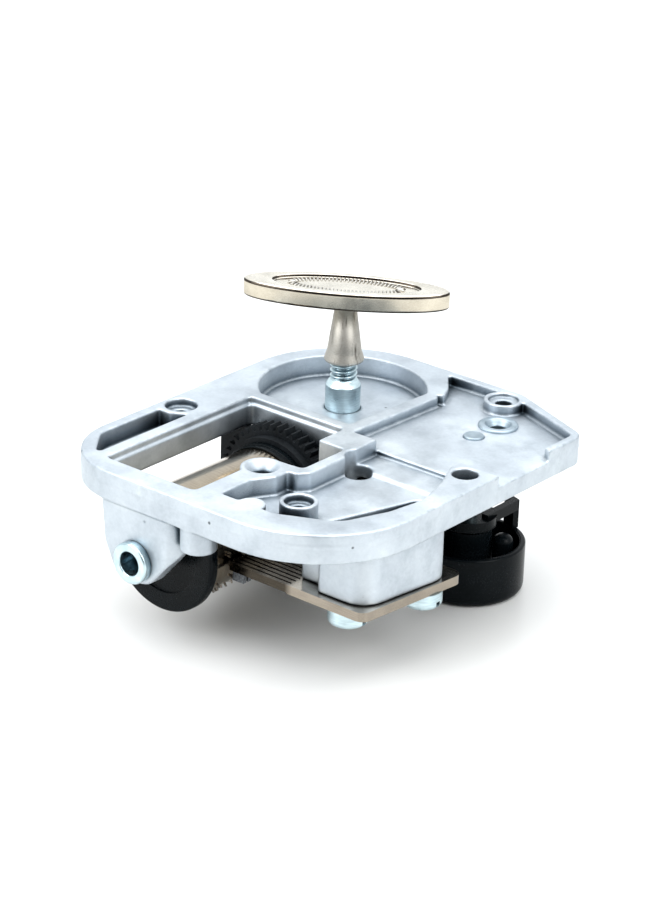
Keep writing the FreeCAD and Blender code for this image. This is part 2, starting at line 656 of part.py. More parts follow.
def makeFrame():
    body = settle(newBody("frame"))
    padDown(body, [("0", "0", "frontLeftRound"), ("frameWidth", "0", "frontRightRound"),
                   ("frameWidth", "chamferRightY", "chamferRound"),
                   ("chamferBackX", "frameLength", "chamferRound"),
                   ("0", "frameLength", "backLeftRound")], "skirtHeight")
    padDown(body, [("pedestalLeft", "pedestalNotchY"),
                   ("pedestalNotchX", "pedestalNotchY", "pedestalNotchRound"),
                   ("pedestalNotchX", "pedestalFront", "pedestalNotchRound"),
                   ("pedestalFrontRight", "pedestalFront", "pedestalFrontRound"),
                   ("pedestalBackRight", "pedestalBack", "pedestalBackRound"),
                   ("pedestalLeft", "pedestalBack")], "combDepth")
    padDown(body, rectangle("backingLeft", "backingRight", "backingFront", "backingBack"), "backingDepth")
    lug = sketchOn(body, "XZ_Plane", "lugFront", "-standHeight")
    drawLoop(lug, [("lugLeftTop", "lugTop"), ("lugLeftLow", "lugLeftLowRise", "lugShoulderRound"),
                   ("lugToeLeft", "lugToeRise", "lugToeRound"), ("lugToeRight", "lugToeRise", "lugToeRound"),
                   ("lugRight", "lugRightLowRise", "lugShoulderRound"), ("lugRight", "lugTop")])
    feature(body, "Pad", lug, Length="lugThick").Reversed = True
    pocketDown(body, [("lugRight - lugCorner", "lugFront - lugCorner"),
                      ("lugRight + lugCorner", "lugFront - lugCorner"),
                      ("lugRight + lugCorner", "lugFront + lugCorner"), ("lugRight", "lugFront + lugCorner"),
                      ("lugRight", "lugFront", "lugCornerRound"), ("lugRight - lugCorner", "lugFront")],
               "standHeight - skirtHeight", "skirtHeight")
    padRound(body, "postX", "postY", "postRadius", "postDepth")

    drillDown(body, "arborX", "arborY", "recessRadius", "recessDepth")
    pocketDown(body, [("arborX", "ribFront"), ("ribStartX", "ribFront"), ("ribEndX", "ribEndY"),
                      ("arborX", "ribEndY")], "recessDepth")
    padDown(body, rectangle("ribLeft", "ribStartX", "windowBack - windowLip", "ribFront"), "skirtHeight")
    padDown(body, [("ribStartX", "windowBack"), ("ribStartX + ribThick", "windowBack"),
                   ("ribEndX + ribThick", "ribEndY"), ("ribEndX", "ribEndY"), ("ribStartX", "ribFront")],
            "skirtHeight")
    pocketDown(body, [("ribStartX + ribThick", "pocketFront"), ("pocketStepX", "pocketFront"),
                      ("pocketStepX", "runoutFront"), ("runoutPast", "runoutFront"),
                      ("runoutPast", "runoutBack"),
                      ("pocketRight", "runoutTurn"), ("pocketRight", "pocketRightTop", "channelRound"),
                      ("pocketChamferX", "pocketBack"), ("pocketCornerX", "pocketBack", "slotRound"),
                      ("pocketBulgeX", "pocketBulgeY"), ("pocketEndX", "pocketEndY"), ("nickX", "nickY"),
                      ("ribEndX + ribThick", "ribEndY")], "governorFloor")
    pocketDown(body, [("ledgeLeft", "ledgeFront"), ("ledgeFrontRight", "ledgeFront"),
                      ("ledgeBackRight", "pocketFront"), ("ledgeLeft", "pocketFront")], "combLedge")
    pocketDown(body, [("combPocketLeft", "combPocketFront", "combPocketRound"),
                      ("combPocketTurnX", "combPocketFront", "combPocketSweep"),
                      ("combPocketBendX", "combPocketBendY", "combPocketSweep"),
                      ("combPocketSideX", "combPocketSideY", "combPocketSweep"),
                      ("combPocketRight", "combPocketRightY", "combPocketSweep"),
                      ("ledgeFrontRight", "ledgeFront"), ("combPocketBayX", "ledgeFront"),
                      ("combPocketBayX", "combPocketBayY", "combPocketRound"),
                      ("combPocketStepX", "combPocketStepY", "combPocketRound"),
                      ("combPocketNookX", "combPocketStepY", "combPocketRound"),
                      ("combPocketNookX", "combPocketNookY", "combPocketRound"),
                      ("combPocketLeft", "combPocketWaistY", "combPocketRound")], "combFloor")
    pocketDown(body, [("channelFrontX", "channelFrontY", "combPocketRound"),
                      ("channelBendX", "channelBendY", "channelRound"),
                      ("channelRight", "channelRightY", "channelRound"),
                      ("channelBackX", "channelBackY", "combPocketRound"),
                      ("channelEndX", "channelEndY", "combPocketRound")], "channelFloor")
    padRound(body, "rimBossX", "rimBossY", "rimBoss", "skirtHeight")
    padRound(body, "frontBossX", "frontBossY", "frontBoss", "skirtHeight")
    padRound(body, "backBossX", "backBossY", "backBoss", "skirtHeight")
    for inset, depth in (("0", "windowLipDepth"), ("windowLip", "backingDepth")):
        left = "windowLeft + " + inset
        back = "windowBack - " + inset
        pocketDown(body, [(left, "windowFront", "windowRound"),
                          ("windowRight", "windowFront", "windowRound"),
                          ("windowRight", "bayShoulder"), ("bayRight", "bayFront", "windowRound"),
                          ("bayRight", "bayBack", "windowRound"), ("windowBackRight", "bayBack"),
                          ("windowBackRight", back, "windowRound"), (left, back, "windowRound")], depth)
    padRound(body, "midBossX", "midBossY", "midBoss", "skirtHeight")
    pocketDown(body, [("slotLeft", "slotSideY", "slotSweep"), ("slotTipX", "slotTipY", "slotRound"),
                      ("slotRight", "slotTipY + slotRound", "slotRound"), ("slotRight", "slotBackRight"),
                      ("slotBackX", "slotBackLeft"), ("slotLeft", "slotBackLeft")], "slotDepth")

    for x, y in (("leftHoleX", "leftHoleY"), ("backBossX", "backBossY"), ("frontBossX", "frontBossY")):
        drillDown(body, x, y, "screwHole", "skirtHeight")
    drillDown(body, "leftHoleX", "leftHoleY", "leftSink", "sinkDepth")
    drillDown(body, "backBossX", "backBossY", "backSink", "backSinkDepth")
    drillDown(body, "frontBossX", "frontBossY", "frontSink", "sinkDepth")
    drillDown(body, "rightHoleX", "rightHoleY", "rightHole", "skirtHeight")
    drillDown(body, "midBossX", "midBossY", "midHole", "backingDepth")
    mouth = sketchOn(body, "XZ_Plane", "midBossY", "-midSinkDepth")
    mouth.setExpression("AttachmentOffset.Base.x", bound("midBossX"))
    drawLoop(mouth, [("0", "0"), ("midHole", "0"), ("midSink", "midSinkDepth"), ("0", "midSinkDepth")])
    sink = feature(body, "Groove", mouth)
    sink.ReferenceAxis = (mouth, ["V_Axis"])
    sink.Angle = 360
    drillDown(body, "wellX", "wellY", "wellHole", "backingDepth")
    drillDown(body, "arborX", "arborY", "arborHole", "skirtHeight")
    drillDown(body, "rivetX", "rivetY", "rivetBarrel + seatGap", "skirtHeight")
    drillDown(body, "governorX", "governorY", "plugRadius + seatGap", "skirtHeight")
    screwDepth = "combDepth - screwShankLength - seatGap"
    for place in ("combScrewFront", "combScrewBack"):
        drillDown(body, place + "X", place + "Y", "screwShank + seatGap", "screwShankLength + seatGap",
                  screwDepth)
    earTop = "skirtHeight - earScrewReach - seatGap"
    for side in ("earLeft", "earRight"):
        drillDown(body, side + "X", side + "Y", "earHole + seatGap", "earScrewReach + seatGap", earTop)
    bearing = sketchOn(body, "XZ_Plane", "lugFront", "-standHeight")
    drawCircle(bearing, "cylinderX", "standHeight - cylinderDepth", "bushingBarrel + seatGap")
    feature(body, "Pocket", bearing, Length="lugThick")


def makeSpringHousing():
    body = settle(newBody("spring_housing"))
    top = "skirtHeight + housingGap"
    padRound(body, "arborX", "arborY", "chamberRadius", "chamberBase - skirtHeight - housingGap", top)
    padRound(body, "arborX", "arborY", "drumRadius", "standHeight - chamberBase", "chamberBase")
    padDown(body, rectangle("wallLeft", "wallRight", "wallFront", "wallFront + wallThick"),
            "standHeight - skirtHeight - housingGap", top)
    padDown(body, rectangle("cylinderX - pinionBay - wallThick", "cylinderX + pinionBay + wallThick",
                            "wallFront",
                            "arborY - drumBore"), "standHeight - skirtHeight - housingGap", top)
    padDown(body, rectangle("footLeft", "wallRight", "footFront", "wallFront + wallThick"), "footThick",
            "standHeight - footThick")
    for side in ("earLeft", "earRight"):
        padRound(body, side + "X", side + "Y", "earRadius", "earDepth - skirtHeight - housingGap", top)
    drillDown(body, "arborX", "arborY", "chamberBore", "chamberFloor - skirtHeight - housingGap", top)
    drillDown(body, "arborX", "arborY", "drumBore", "drumFloor - chamberFloor", "chamberFloor")
    drillDown(body, "arborX", "arborY", "arborPivot + runGap", "standHeight - drumFloor", "drumFloor")
    pocketDown(body, rectangle("cylinderX - pinionBay", "cylinderX + pinionBay", "wallFront + wallThick",
                               "pinionBayBack"), "pinionBayBase - pinionBayTop", "pinionBayTop")
    for side in ("earLeft", "earRight"):
        drillDown(body, side + "X", side + "Y", "earHole + seatGap", "earDepth - skirtHeight", "skirtHeight")
    bearing = sketchOn(body, "XZ_Plane", "wallFront", "-standHeight")
    drawCircle(bearing, "cylinderX", "standHeight - cylinderDepth", "rearBarrel + seatGap")
    feature(body, "Pocket", bearing, Length="wallThick")


def makeBushings():
    front = turned("front_bushing", [("axleRadius + runGap", "0"), ("bushingFlange", "0", "bushingRound"),
                                     ("bushingFlange", "lugFront + bushingReach"),
                                     ("bushingBarrel", "lugFront + bushingReach"),
                                     ("bushingBarrel", "bushingBack + bushingReach"),
                                     ("axleRadius + runGap", "bushingBack + bushingReach")])
    settle(front, "cylinderX", "0 - bushingReach", "cylinderDepth", alongY)
    rear = turned("rear_bushing", [("axleRadius + runGap", "0"), ("rearBarrel", "0"),
                                   ("rearBarrel", "wallThick"),
                                   ("axleRadius + runGap", "wallThick")])
    settle(rear, "cylinderX", "wallFront", "cylinderDepth", alongY)


def makeScrews(node, shank, reach, head, headHeight, headRound, places):
    # Slotted round-head screws driven from below, as one group of separate solids.
    solids = []
    for x, y, depth in places:
        stem = Part.makeCylinder(shank, reach)
        cap = Part.makeCylinder(head, headHeight, Vector(0, 0, -headHeight))
        cap = cap.makeFillet(headRound, [edge for edge in cap.Edges if edge.CenterOfMass.z < -headHeight / 2
                                         and isinstance(edge.Curve, Part.Circle)])
        slot = Part.makeBox(2 * head, size("screwSlot"), headHeight / 2,
                            Vector(-head, -size("screwSlot") / 2, -headHeight))
        screw = stem.fuse(cap).cut(slot)
        screw.translate(Vector(x, y, -depth))
        solids.append(screw)
    settle(solidPiece(node, Part.makeCompound(solids)))


def makeMainspring():
    # A flat strip wound as half circles whose radius grows by half a step each time.
    step = size("springStep") / 2
    outer = []
    inner = []
    centre = 0.0
    radius = size("springInner")
    for k in range(2 * int(size("springTurns"))):
        side = 1 if k % 2 == 0 else -1
        for edges, r in ((inner, radius), (outer, radius + size("springThick"))):
            ends = [Vector(centre + side * r, 0, 0), Vector(centre, side * r, 0),
                    Vector(centre - side * r, 0, 0)]
            edges.append(Part.Arc(*ends).toShape())
        centre += side * step
        radius += step
    lead = Part.LineSegment(inner[0].Vertexes[0].Point, outer[0].Vertexes[0].Point).toShape()
    tail = Part.LineSegment(inner[-1].Vertexes[-1].Point, outer[-1].Vertexes[-1].Point).toShape()
    strip = Part.Face(Part.Wire(Part.__sortEdges__(inner + outer + [lead, tail])))
    shape = strip.extrude(Vector(0, 0, size("springBase") - size("springTop")))
    settle(solidPiece("mainspring", shape), "arborX", "arborY", "springBase")


def makeWindingParts():
    arbor = turned("winding_arbor", [
        ("0", "arborFoot"), ("arborPivot", "arborFoot"), ("arborPivot", "standHeight - drumFloor + runGap"),
        ("arborCore", "standHeight - drumFloor + runGap"), ("arborCore", "standHeight + collarTop"),
        ("threadRadius", "standHeight + threadStart"), ("threadRadius", "standHeight + threadEnd"),
        ("0", "standHeight + threadEnd")])
    groove = sketchOn(arbor, "XZ_Plane")
    start = "standHeight + threadStart + threadPitch"
    drawLoop(groove, [("threadRadius + runGap", start),
                      ("threadRadius - threadDepth", start + " + threadDepth"),
                      ("threadRadius + runGap", start + " + threadDepth + threadDepth")])
    ring = feature(arbor, "Groove", groove)
    ring.ReferenceAxis = (groove, ["V_Axis"])
    ring.Angle = 360
    repeat(arbor, "thread_grooves", ring, "threadPitch", "threadTurns")
    settle(arbor, "arborX", "arborY", "standHeight")

    stem = turned("key_stem", [
        ("keyBore", "0"), ("keyStemWide", "0", "keyStemRound"), ("keyStemWide", "keyStemBand"),
        ("keyStemWaist", "keyStemFlare"), ("keyStemNarrow", "keyStemTop - keyStemBase"), ("0", "keyStemTop - keyStemBase"),
        ("0", "keyBoreTop - keyStemBase"), ("keyBore", "keyBoreTop - keyStemBase")])
    settle(stem, "arborX", "arborY", "0 - keyStemBase")

    ovals = []
    for name, share, level, height in (("knob_oval", "1", "0", "knobThick"),
                                       ("knob_panel", "knobPanelShare", "knobThick - knobPanelDepth",
                                        "knobThick")):
        oval = doc.addObject("Part::Ellipse", name)
        oval.setExpression("MajorRadius", bound(f"knobLong * {share}"))
        oval.setExpression("MinorRadius", bound(f"knobShort * {share}"))
        oval.setExpression("Placement.Base.z", bound(level))
        block = doc.addObject("Part::Extrusion", name + "_block")
        block.Base = oval
        block.DirMode = "Custom"
        block.Dir = Vector(0, 0, 1)
        block.Solid = True
        block.setExpression("LengthFwd", bound(height))
        ovals.append(block)
    knob = doc.addObject("Part::Cut", "key_knob")
    knob.Label = "key_knob"
    knob.Base, knob.Tool = ovals
    settle(knob, "arborX", "arborY", "0 - keyStemTop", Rotation(Vector(0, 0, 1), size("knobTurn")))

    teeth = int(size("ratchetTeeth"))
    corners = []
    for k in range(teeth):
        corners.append(polar(size("ratchetRoot"), 2 * math.pi * k / teeth))
        corners.append(polar(size("ratchetTip"), 2 * math.pi * (k + 0.9) / teeth))
    saw = Part.Face(Part.makePolygon(corners + corners[:1])).extrude(Vector(0, 0, size("ratchetThick")))
    saw = saw.cut(disc(size("arborCore") + size("seatGap"), 0, size("ratchetThick")))
    settle(solidPiece("ratchet_wheel", saw), "arborX", "arborY", "ratchetTop + ratchetThick")


def makeSpringGear():
    # A crown wheel: a flat disc whose radial teeth point down at the cylinder pinion.
    thick = size("springGearThick")
    ring = size("springGearRing")
    rim = size("springGearRadius")
    low = -size("crownHeight")
    wheel = disc(rim, 0, thick)
    mesh = math.atan2(worth("pinionFront - arborY"), worth("cylinderX - arborX"))
    teeth = int(size("springGearTeeth"))
    bars = []
    for k in range(teeth):
        profile = [Vector(ring, side * size(width) / 2, level)
                   for level, width, sides in ((0.1, "crownRootWidth", (-1, 1)),
                                               (low, "crownTipWidth", (1, -1)))
                   for side in sides]
        bar = Part.Face(Part.makePolygon(profile + profile[:1])).extrude(Vector(rim - ring, 0, 0))
        bar.rotate(Vector(), Vector(0, 0, 1), math.degrees(mesh + 2 * math.pi * (k + 0.5) / teeth))
        bars.append(bar)
    shape = wheel.fuse(bars).common(disc(rim, low, thick))
    shape = shape.cut(disc(size("arborCore") + size("runGap"), low, thick))
    settle(solidPiece("spring_gear", shape), "arborX", "arborY", "springGearTop + springGearThick")

    arm = doc.addObject("Part::Box", "ratchet_click")
    arm.Label = "ratchet_click"
    arm.setExpression("Length", bound("clickLength"))
    arm.setExpression("Width", bound("clickWidth"))
    arm.setExpression("Height", bound("clickHeight"))
    settle(arm, "arborX - clickLength / 2", "arborY + clickRadius - clickWidth", "springGearTop")


def makeCylinder():
    sleeve = turned("cylinder", [
        ("cylinderRadius - cylinderWall", "0"), ("cylinderRadius", "0"),
        ("cylinderRadius", "gearFront - capBack"),
        ("cylinderRadius - cylinderWall", "gearFront - capBack")])
    settle(sleeve, "cylinderX", "capBack", "cylinderDepth", alongY)

    cap = turned("end_cap", [
        ("axleRadius + seatGap", "0"), ("capHub", "0"), ("capHub", "capFront - capHubFront + capHollowDepth"),
        ("capHollow", "capFront - capHubFront + capHollowDepth"), ("capHollow", "capFront - capHubFront"),
        ("capRadius", "capFront - capHubFront"), ("capRadius", "capBack - capHubFront"),
        ("cylinderRadius - cylinderWall - seatGap", "capBack - capHubFront"),
        ("cylinderRadius - cylinderWall - seatGap", "capBack - capHubFront + spigotLength"),
        ("cylinderRadius - cylinderWall - spigotWall", "capBack - capHubFront + spigotLength"),
        ("cylinderRadius - cylinderWall - spigotWall", "capBack - capHubFront"),
        ("axleRadius + seatGap", "capBack - capHubFront")])
    settle(cap, "cylinderX", "capHubFront", "cylinderDepth", alongY)

    bore = size("axleRadius") + size("seatGap")
    flange = size("gearFlangeThick")
    back = flange + size("gearToothWidth")
    spigot = size("cylinderRadius") - size("cylinderWall") - size("seatGap")
    teeth = spurWheel(int(size("gearTeeth")), size("gearModule"), size("gearToothShare"), 0,
                      size("gearToothWidth"), meshAngle())
    teeth.translate(Vector(0, 0, flange))
    reach = -size("spigotLength")
    ring = disc(spigot, reach, flange).cut(disc(spigot - size("spigotWall"), reach, 0))
    gear = teeth.fuse([disc(size("gearFlange"), 0, flange), ring,
                       disc(size("gearHub"), 0, back + size("runGap"))])
    gear = gear.cut(disc(bore, -size("spigotLength"), back + 1))
    settle(solidPiece("cylinder_gear", gear), "cylinderX", "gearFront", "cylinderDepth", alongY)

    pinion = spurWheel(int(size("pinionTeeth")), size("pinionModule"), size("pinionToothShare"), bore,
                       size("pinionWidth"), -math.pi / 2)
    settle(solidPiece("cylinder_pinion", pinion), "cylinderX", "pinionFront", "cylinderDepth", alongY)

    axle = turned("cylinder_axle", [("0", "0"), ("axleRadius", "0"), ("axleRadius", "axleBack - axleFront"),
                                    ("0", "axleBack - axleFront")])
    settle(axle, "cylinderX", "axleFront", "cylinderDepth", alongY)


def toothMiddle(k):
    return size("combFrontY") + k * size("combPitch") + worth("combPitch - combSlot") / 2


def makePins():
    # One track for each comb tooth. A fixed rule picks the beats that carry a pin, outside the tune's rest.
    pins = []
    steps = int(size("pinSteps"))
    for track in range(int(size("combTeeth"))):
        for beat in range(steps):
            rests = size("pinRestStart") <= beat <= size("pinRestEnd")
            if rests or (track * track + 5 * beat + 3 * track * beat) % 7 != 0:
                continue
            angle = 2 * math.pi * (beat + 0.5 * (track % 2)) / steps
            foot = polar(size("cylinderRadius") - size("cylinderWall"), angle,
                         toothMiddle(track) - size("capBack"))
            pins.append(Part.makeCylinder(size("pinRadius"), worth("cylinderWall + pinLength"), foot,
                                          polar(1, angle)))
    settle(solidPiece("cylinder_pins", Part.makeCompound(pins)), "cylinderX", "capBack", "cylinderDepth",
           alongY)


def meshAngle():
    # Direction from the cylinder axis to the idler axis, in the wheels' own plane.
    return math.atan2(worth("idlerDepth - cylinderDepth"), worth("idlerX - cylinderX"))


def wormWheelModule():
    return 2 * worth("governorX - idlerX - wormPitchRadius") / size("wormWheelTeeth")


def makeIdler():
    bore = size("idlerAxle") + size("seatGap")
    phase = meshAngle() + math.pi + math.pi / size("idlerTeeth")
    pinion = spurWheel(int(size("idlerTeeth")), size("gearModule"), size("gearToothShare"), 0,
                       size("idlerWidth"), phase)
    length = 2 * size("idlerWidth")
    pinion = pinion.fuse(disc(size("idlerHub"), 0, length)).cut(disc(bore, 0, length))
    settle(solidPiece("idler_pinion", pinion), "idlerX", "idlerFront", "idlerDepth", alongY)

    width = size("wormWheelWidth")
    wheel = spurWheel(int(size("wormWheelTeeth")), wormWheelModule(), size("wormWheelShare"), 0, width)
    wheel = wheel.fuse(disc(size("idlerHub"), -0.5 * width, width)).cut(disc(bore, -width, width))
    settle(solidPiece("worm_wheel", wheel), "idlerX", "governorY - wormWheelWidth / 2", "idlerDepth", alongY)

    axle = turned("idler_axle", [("0", "0"), ("idlerAxle", "0"),
                                 ("idlerAxle", "idlerAxleBack - idlerAxleFront"),
                                 ("0", "idlerAxleBack - idlerAxleFront")])
    settle(axle, "idlerX", "idlerAxleFront", "idlerDepth", alongY)


def makeWorm():
    # A right-hand thread with a gap facing the worm wheel at the idler's level.
    module = wormWheelModule()
    lead = math.pi * module
    base = -size("wormBase")
    length = worth("wormBase - wormTop")
    outer = size("wormPitchRadius") + 0.85 * module
    root = size("wormPitchRadius") - 1.1 * module
    half = size("wormThreadShare") * lead / 2
    lean = module * math.tan(math.radians(20))
    turns = length / lead - 1
    profile = [Vector(root - 0.1, 0, -half - lean), Vector(outer, 0, lean - half),
               Vector(outer, 0, half - lean), Vector(root - 0.1, 0, half + lean)]
    thread = Part.Wire(Part.makeHelix(lead, turns * lead, size("wormPitchRadius")))
    ridge = thread.makePipeShell([Part.makePolygon(profile + profile[:1])], True, True)
    # On the side that faces the wheel, ridges lie half a lead from the idler's level.
    bottom = base + lead / 2
    wanted = -size("idlerDepth") - lead / 2
    ridge.translate(Vector(0, 0, bottom))
    ridge.rotate(Vector(), Vector(0, 0, 1), 180 + 360 * (bottom - wanted) / lead)
    shaft = disc(root, base, base + length)
    shaft = shaft.fuse(disc(size("wormShaft"), -size("rotorBase"), base + length + 0.6))
    shaft = shaft.fuse(disc(size("governorPivot"), -size("governorPivotBase"), -size("governorPivotTop")))
    settle(solidPiece("governor_worm", shaft.fuse(ridge)), "governorX", "governorY")


def makeGovernor():
    rotor = turned("governor_rotor", [
        ("wormShaft + seatGap", "0"), ("carrierRadius", "0"), ("carrierRadius", "carrierThick"),
        ("rotorRadius", "carrierThick"), ("rotorRadius", "rotorBase - rotorTop"),
        ("wormShaft + seatGap", "rotorBase - rotorTop")])
    settle(rotor, "governorX", "governorY", "rotorBase")

    weights = []
    height = worth("rotorBase - carrierThick - weightTop")
    for side in (-1, 1):
        lobe = Part.makeCylinder(size("weightRadius"), height, Vector(side * size("weightOffset"), 0, 0))
        top = [edge for edge in lobe.Edges if edge.BoundBox.ZMin > height / 2]
        weights.append(lobe.makeFillet(size("weightRound"), top))
    settle(solidPiece("governor_weights", Part.makeCompound(weights)), "governorX", "governorY",
           "rotorBase - carrierThick", Rotation(Vector(0, 0, 1), size("weightTurn")))

    cup = turned("governor_cup", [
        ("governorPivot + runGap", "0"), ("cupRadius", "0", "cupRound"),
        ("cupRadius", "standHeight - cupTop"),
        ("cupBore", "standHeight - cupTop"), ("cupBore", "cupFloor"), ("cupPost", "cupFloor"),
        ("cupPost", "cupFloor + cupPostRise"), ("governorPivot + runGap", "cupFloor + cupPostRise")])
    settle(cup, "governorX", "governorY", "standHeight")

    rivet = turned("governor_rivet", [
        ("rivetBore", "0"), ("rivetBarrel", "0"),
        ("rivetBarrel", "bracketTop + bracketThick - governorFloor"),
        ("rivetFlange", "bracketTop + bracketThick - governorFloor"),
        ("rivetFlange", "bracketTop + bracketThick - governorFloor + rivetProud", "rivetRound"),
        ("rivetMouth", "bracketTop + bracketThick - governorFloor + rivetProud"),
        ("rivetBore", "bracketTop + bracketThick - governorFloor + rivetProud - rivetDish")])
    settle(rivet, "rivetX", "rivetY", "bracketTop + bracketThick")

    plug = turned("pivot_plug", [
        ("governorPivot + runGap", "0"), ("plugRadius", "0"),
        ("plugRadius", "skirtHeight - governorFloor - plugChamfer"),
        ("plugRadius - plugChamfer", "skirtHeight - governorFloor"), ("0", "skirtHeight - governorFloor"),
        ("0", "skirtHeight - governorPivotTop + runGap"),
        ("governorPivot + runGap", "skirtHeight - governorPivotTop + runGap")])
    settle(plug, "governorX", "governorY", "skirtHeight")


def makeBracket():
    # A plate under the casting, two arms for the idler axle, and the worm's lower bearing between two posts
    # on the cup's rim. The front post reaches up to the plate.
    plate = newBody("bracket_plate")
    padDown(plate, [("bracketLeft", "bracketFront"), ("bracketWaist", "bracketFront"),
                    ("bracketWaist", "bracketShoulder", "bracketRound"),
                    ("bracketRight", "bracketShoulder", "bracketRound"),
                    ("bracketRight", "bracketBack", "bracketRound"),
                    ("bracketLeft", "bracketBack", "bracketRound")],
            "bracketThick", "bracketTop")
    for front in ("bracketFront", "armBackY"):
        padDown(plate, rectangle("bracketLeft", "bracketLeft + armWide", front, front + " + armThick"),
                "armDepth - bracketTop", "bracketTop")
        hole = sketchOn(plate, "XZ_Plane", front, "-standHeight")
        drawCircle(hole, "idlerX", "standHeight - idlerDepth", "idlerAxle + runGap")
        feature(plate, "Pocket", hole, Length="armThick")
    drillDown(plate, "rivetX", "rivetY", "rivetBarrel + seatGap", "bracketThick", "bracketTop")
    drillDown(plate, "governorX", "governorY", "wormShaft + runGap", "bracketThick", "bracketTop")

    hubThick = "hubBase - hubTop"
    padRound(plate, "governorX", "governorY", "hubRadius", hubThick, "hubTop")
    pocketDown(plate, rectangle("governorX - hubRadius", "hubLeft", "governorY - hubRadius",
                                "governorY + hubRadius"), hubThick, "hubTop")
    padDown(plate, rectangle("hubLeft", "hubLeft + strutWide", "strutFront", "governorY"), hubThick, "hubTop")
    drillDown(plate, "governorX", "governorY", "wormShaft + runGap", hubThick, "hubTop")
    padDown(plate, rectangle("webLeft", "webRight", "governorY", "webBack"), "webBase - webTop", "webTop")

    posts = []
    span = size("bracketPostSpan")
    for turn, height in ((0, "cupTop - webTop"), (180, "cupTop - bracketTop - bracketThick")):
        wedges = [Part.makeCylinder(size(radius), worth(height), Vector(), Vector(0, 0, 1), span)
                  for radius in ("cupRadius", "cupBore")]
        post = wedges[0].cut(wedges[1])
        post.rotate(Vector(), Vector(0, 0, 1), size("bracketPostTurn") + turn - span / 2)
        post.translate(Vector(size("governorX"), size("governorY"), -size("cupTop")))
        posts.append(post)
    bracket = doc.addObject("Part::MultiFuse", "governor_bracket")
    bracket.Label = "governor_bracket"
    bracket.Shapes = [plate, solidPiece("bracket_posts", Part.makeCompound(posts))]
    settle(bracket)


def makeComb():
    body = settle(newBody("comb"))
    padDown(body, [("combTip", "combFrontY"), ("combHeelFront", "combFrontY", "combCorner"),
                   ("combHeelBack", "combBackY", "combCorner"), ("combRoot", "combBackY"),
                   ("combRoot", "combToothBack"), ("combTip", "combToothBack")], "combThick", "combDepth")
    pocketDown(body, rectangle("combTip - combSlot", "combRoot - combSlot", "combFrontY - combSlot",
                               "combToothBack + combSlot"), "combThick - combToothThick",
               "combDepth + combToothThick")
    for place in ("combScrewFront", "combScrewBack"):
        drillDown(body, place + "X", place + "Y", "combScrewHole", "combThick", "combDepth")
    slot = pocketDown(body, rectangle("combTip - combSlot", "combRoot", "combFrontY + combPitch - combSlot",
                                      "combFrontY + combPitch"), "combThick", "combDepth")
    repeat(body, "comb_slots", slot, "combPitch", "combTeeth - 1")

    weights = []
    for k in range(int(size("bassWeights"))):
        corner = Vector(worth("combTip + combSlot + combSlot"),
                        toothMiddle(k) - worth("combPitch - combSlot") / 2,
                        -worth("combDepth + combToothThick + bassWeightHeight"))
        weights.append(Part.makeBox(size("bassWeightLength"), worth("combPitch - combSlot"),
                                    size("bassWeightHeight"), corner))
    settle(solidPiece("bass_weights", Part.makeCompound(weights)))


def checkModel():
    doc.recompute()
    for piece in doc.Objects:
        faults = [state for state in piece.State if state in ("Invalid", "Error")]
        if faults:
            raise RuntimeError(f"{piece.Label}: {faults}")
        if piece.TypeId in ("PartDesign::Pocket", "PartDesign::Groove"):
            if piece.BaseFeature.Shape.Volume - piece.Shape.Volume < 1e-4:
                raise RuntimeError(f"{piece.Label} removes nothing")


makeFrame()
makeSpringHousing()
makeBushings()
makeMainspring()
makeWindingParts()
makeSpringGear()
makeCylinder()
makePins()
makeComb()
makeIdler()
makeWorm()
makeGovernor()
makeBracket()
combScrewDepth = worth("combDepth + combThick")
makeScrews("comb_screws", size("screwShank"), worth("combThick + screwShankLength"), size("screwHead"),
           size("screwHeadHeight"), size("screwHeadRound"),
           [(size(place + "X"), size(place + "Y"), combScrewDepth)
            for place in ("combScrewFront", "combScrewBack")])
makeScrews("housing_screws", size("earHole"), worth("earDepth - skirtHeight + earScrewReach"),
           size("earHead"), size("earHeadHeight"), size("earHeadRound"),
           [(size(side + "X"), size(side + "Y"), size("earDepth")) for side in ("earLeft", "earRight")])
checkModel()

nodes = ("frame", "front_bushing", "rear_bushing", "spring_housing", "housing_screws", "mainspring",
         "winding_arbor", "key_stem", "key_knob", "ratchet_wheel", "spring_gear", "ratchet_click", "cylinder",
         "cylinder_pins", "end_cap", "cylinder_gear", "cylinder_pinion", "cylinder_axle", "comb",
         "comb_screws", "bass_weights", "idler_pinion", "worm_wheel", "idler_axle", "governor_worm",
         "governor_rotor", "governor_weights", "governor_cup", "governor_bracket", "governor_rivet",
         "pivot_plug")
os.makedirs("parts", exist_ok=True)
for node in nodes:
    shape = doc.getObject(node).Shape
    if shape.isNull() or not shape.isValid():
        raise RuntimeError(f"{node} has no sound shape")
    shape.exportStep(f"parts/{node}.step")
    print(node, round(shape.Volume, 2), "mm3")
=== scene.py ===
import math
import random

import bmesh
import bpy
import numpy as np
from mathutils import Matrix, Vector, noise
from mathutils.bvhtree import BVHTree


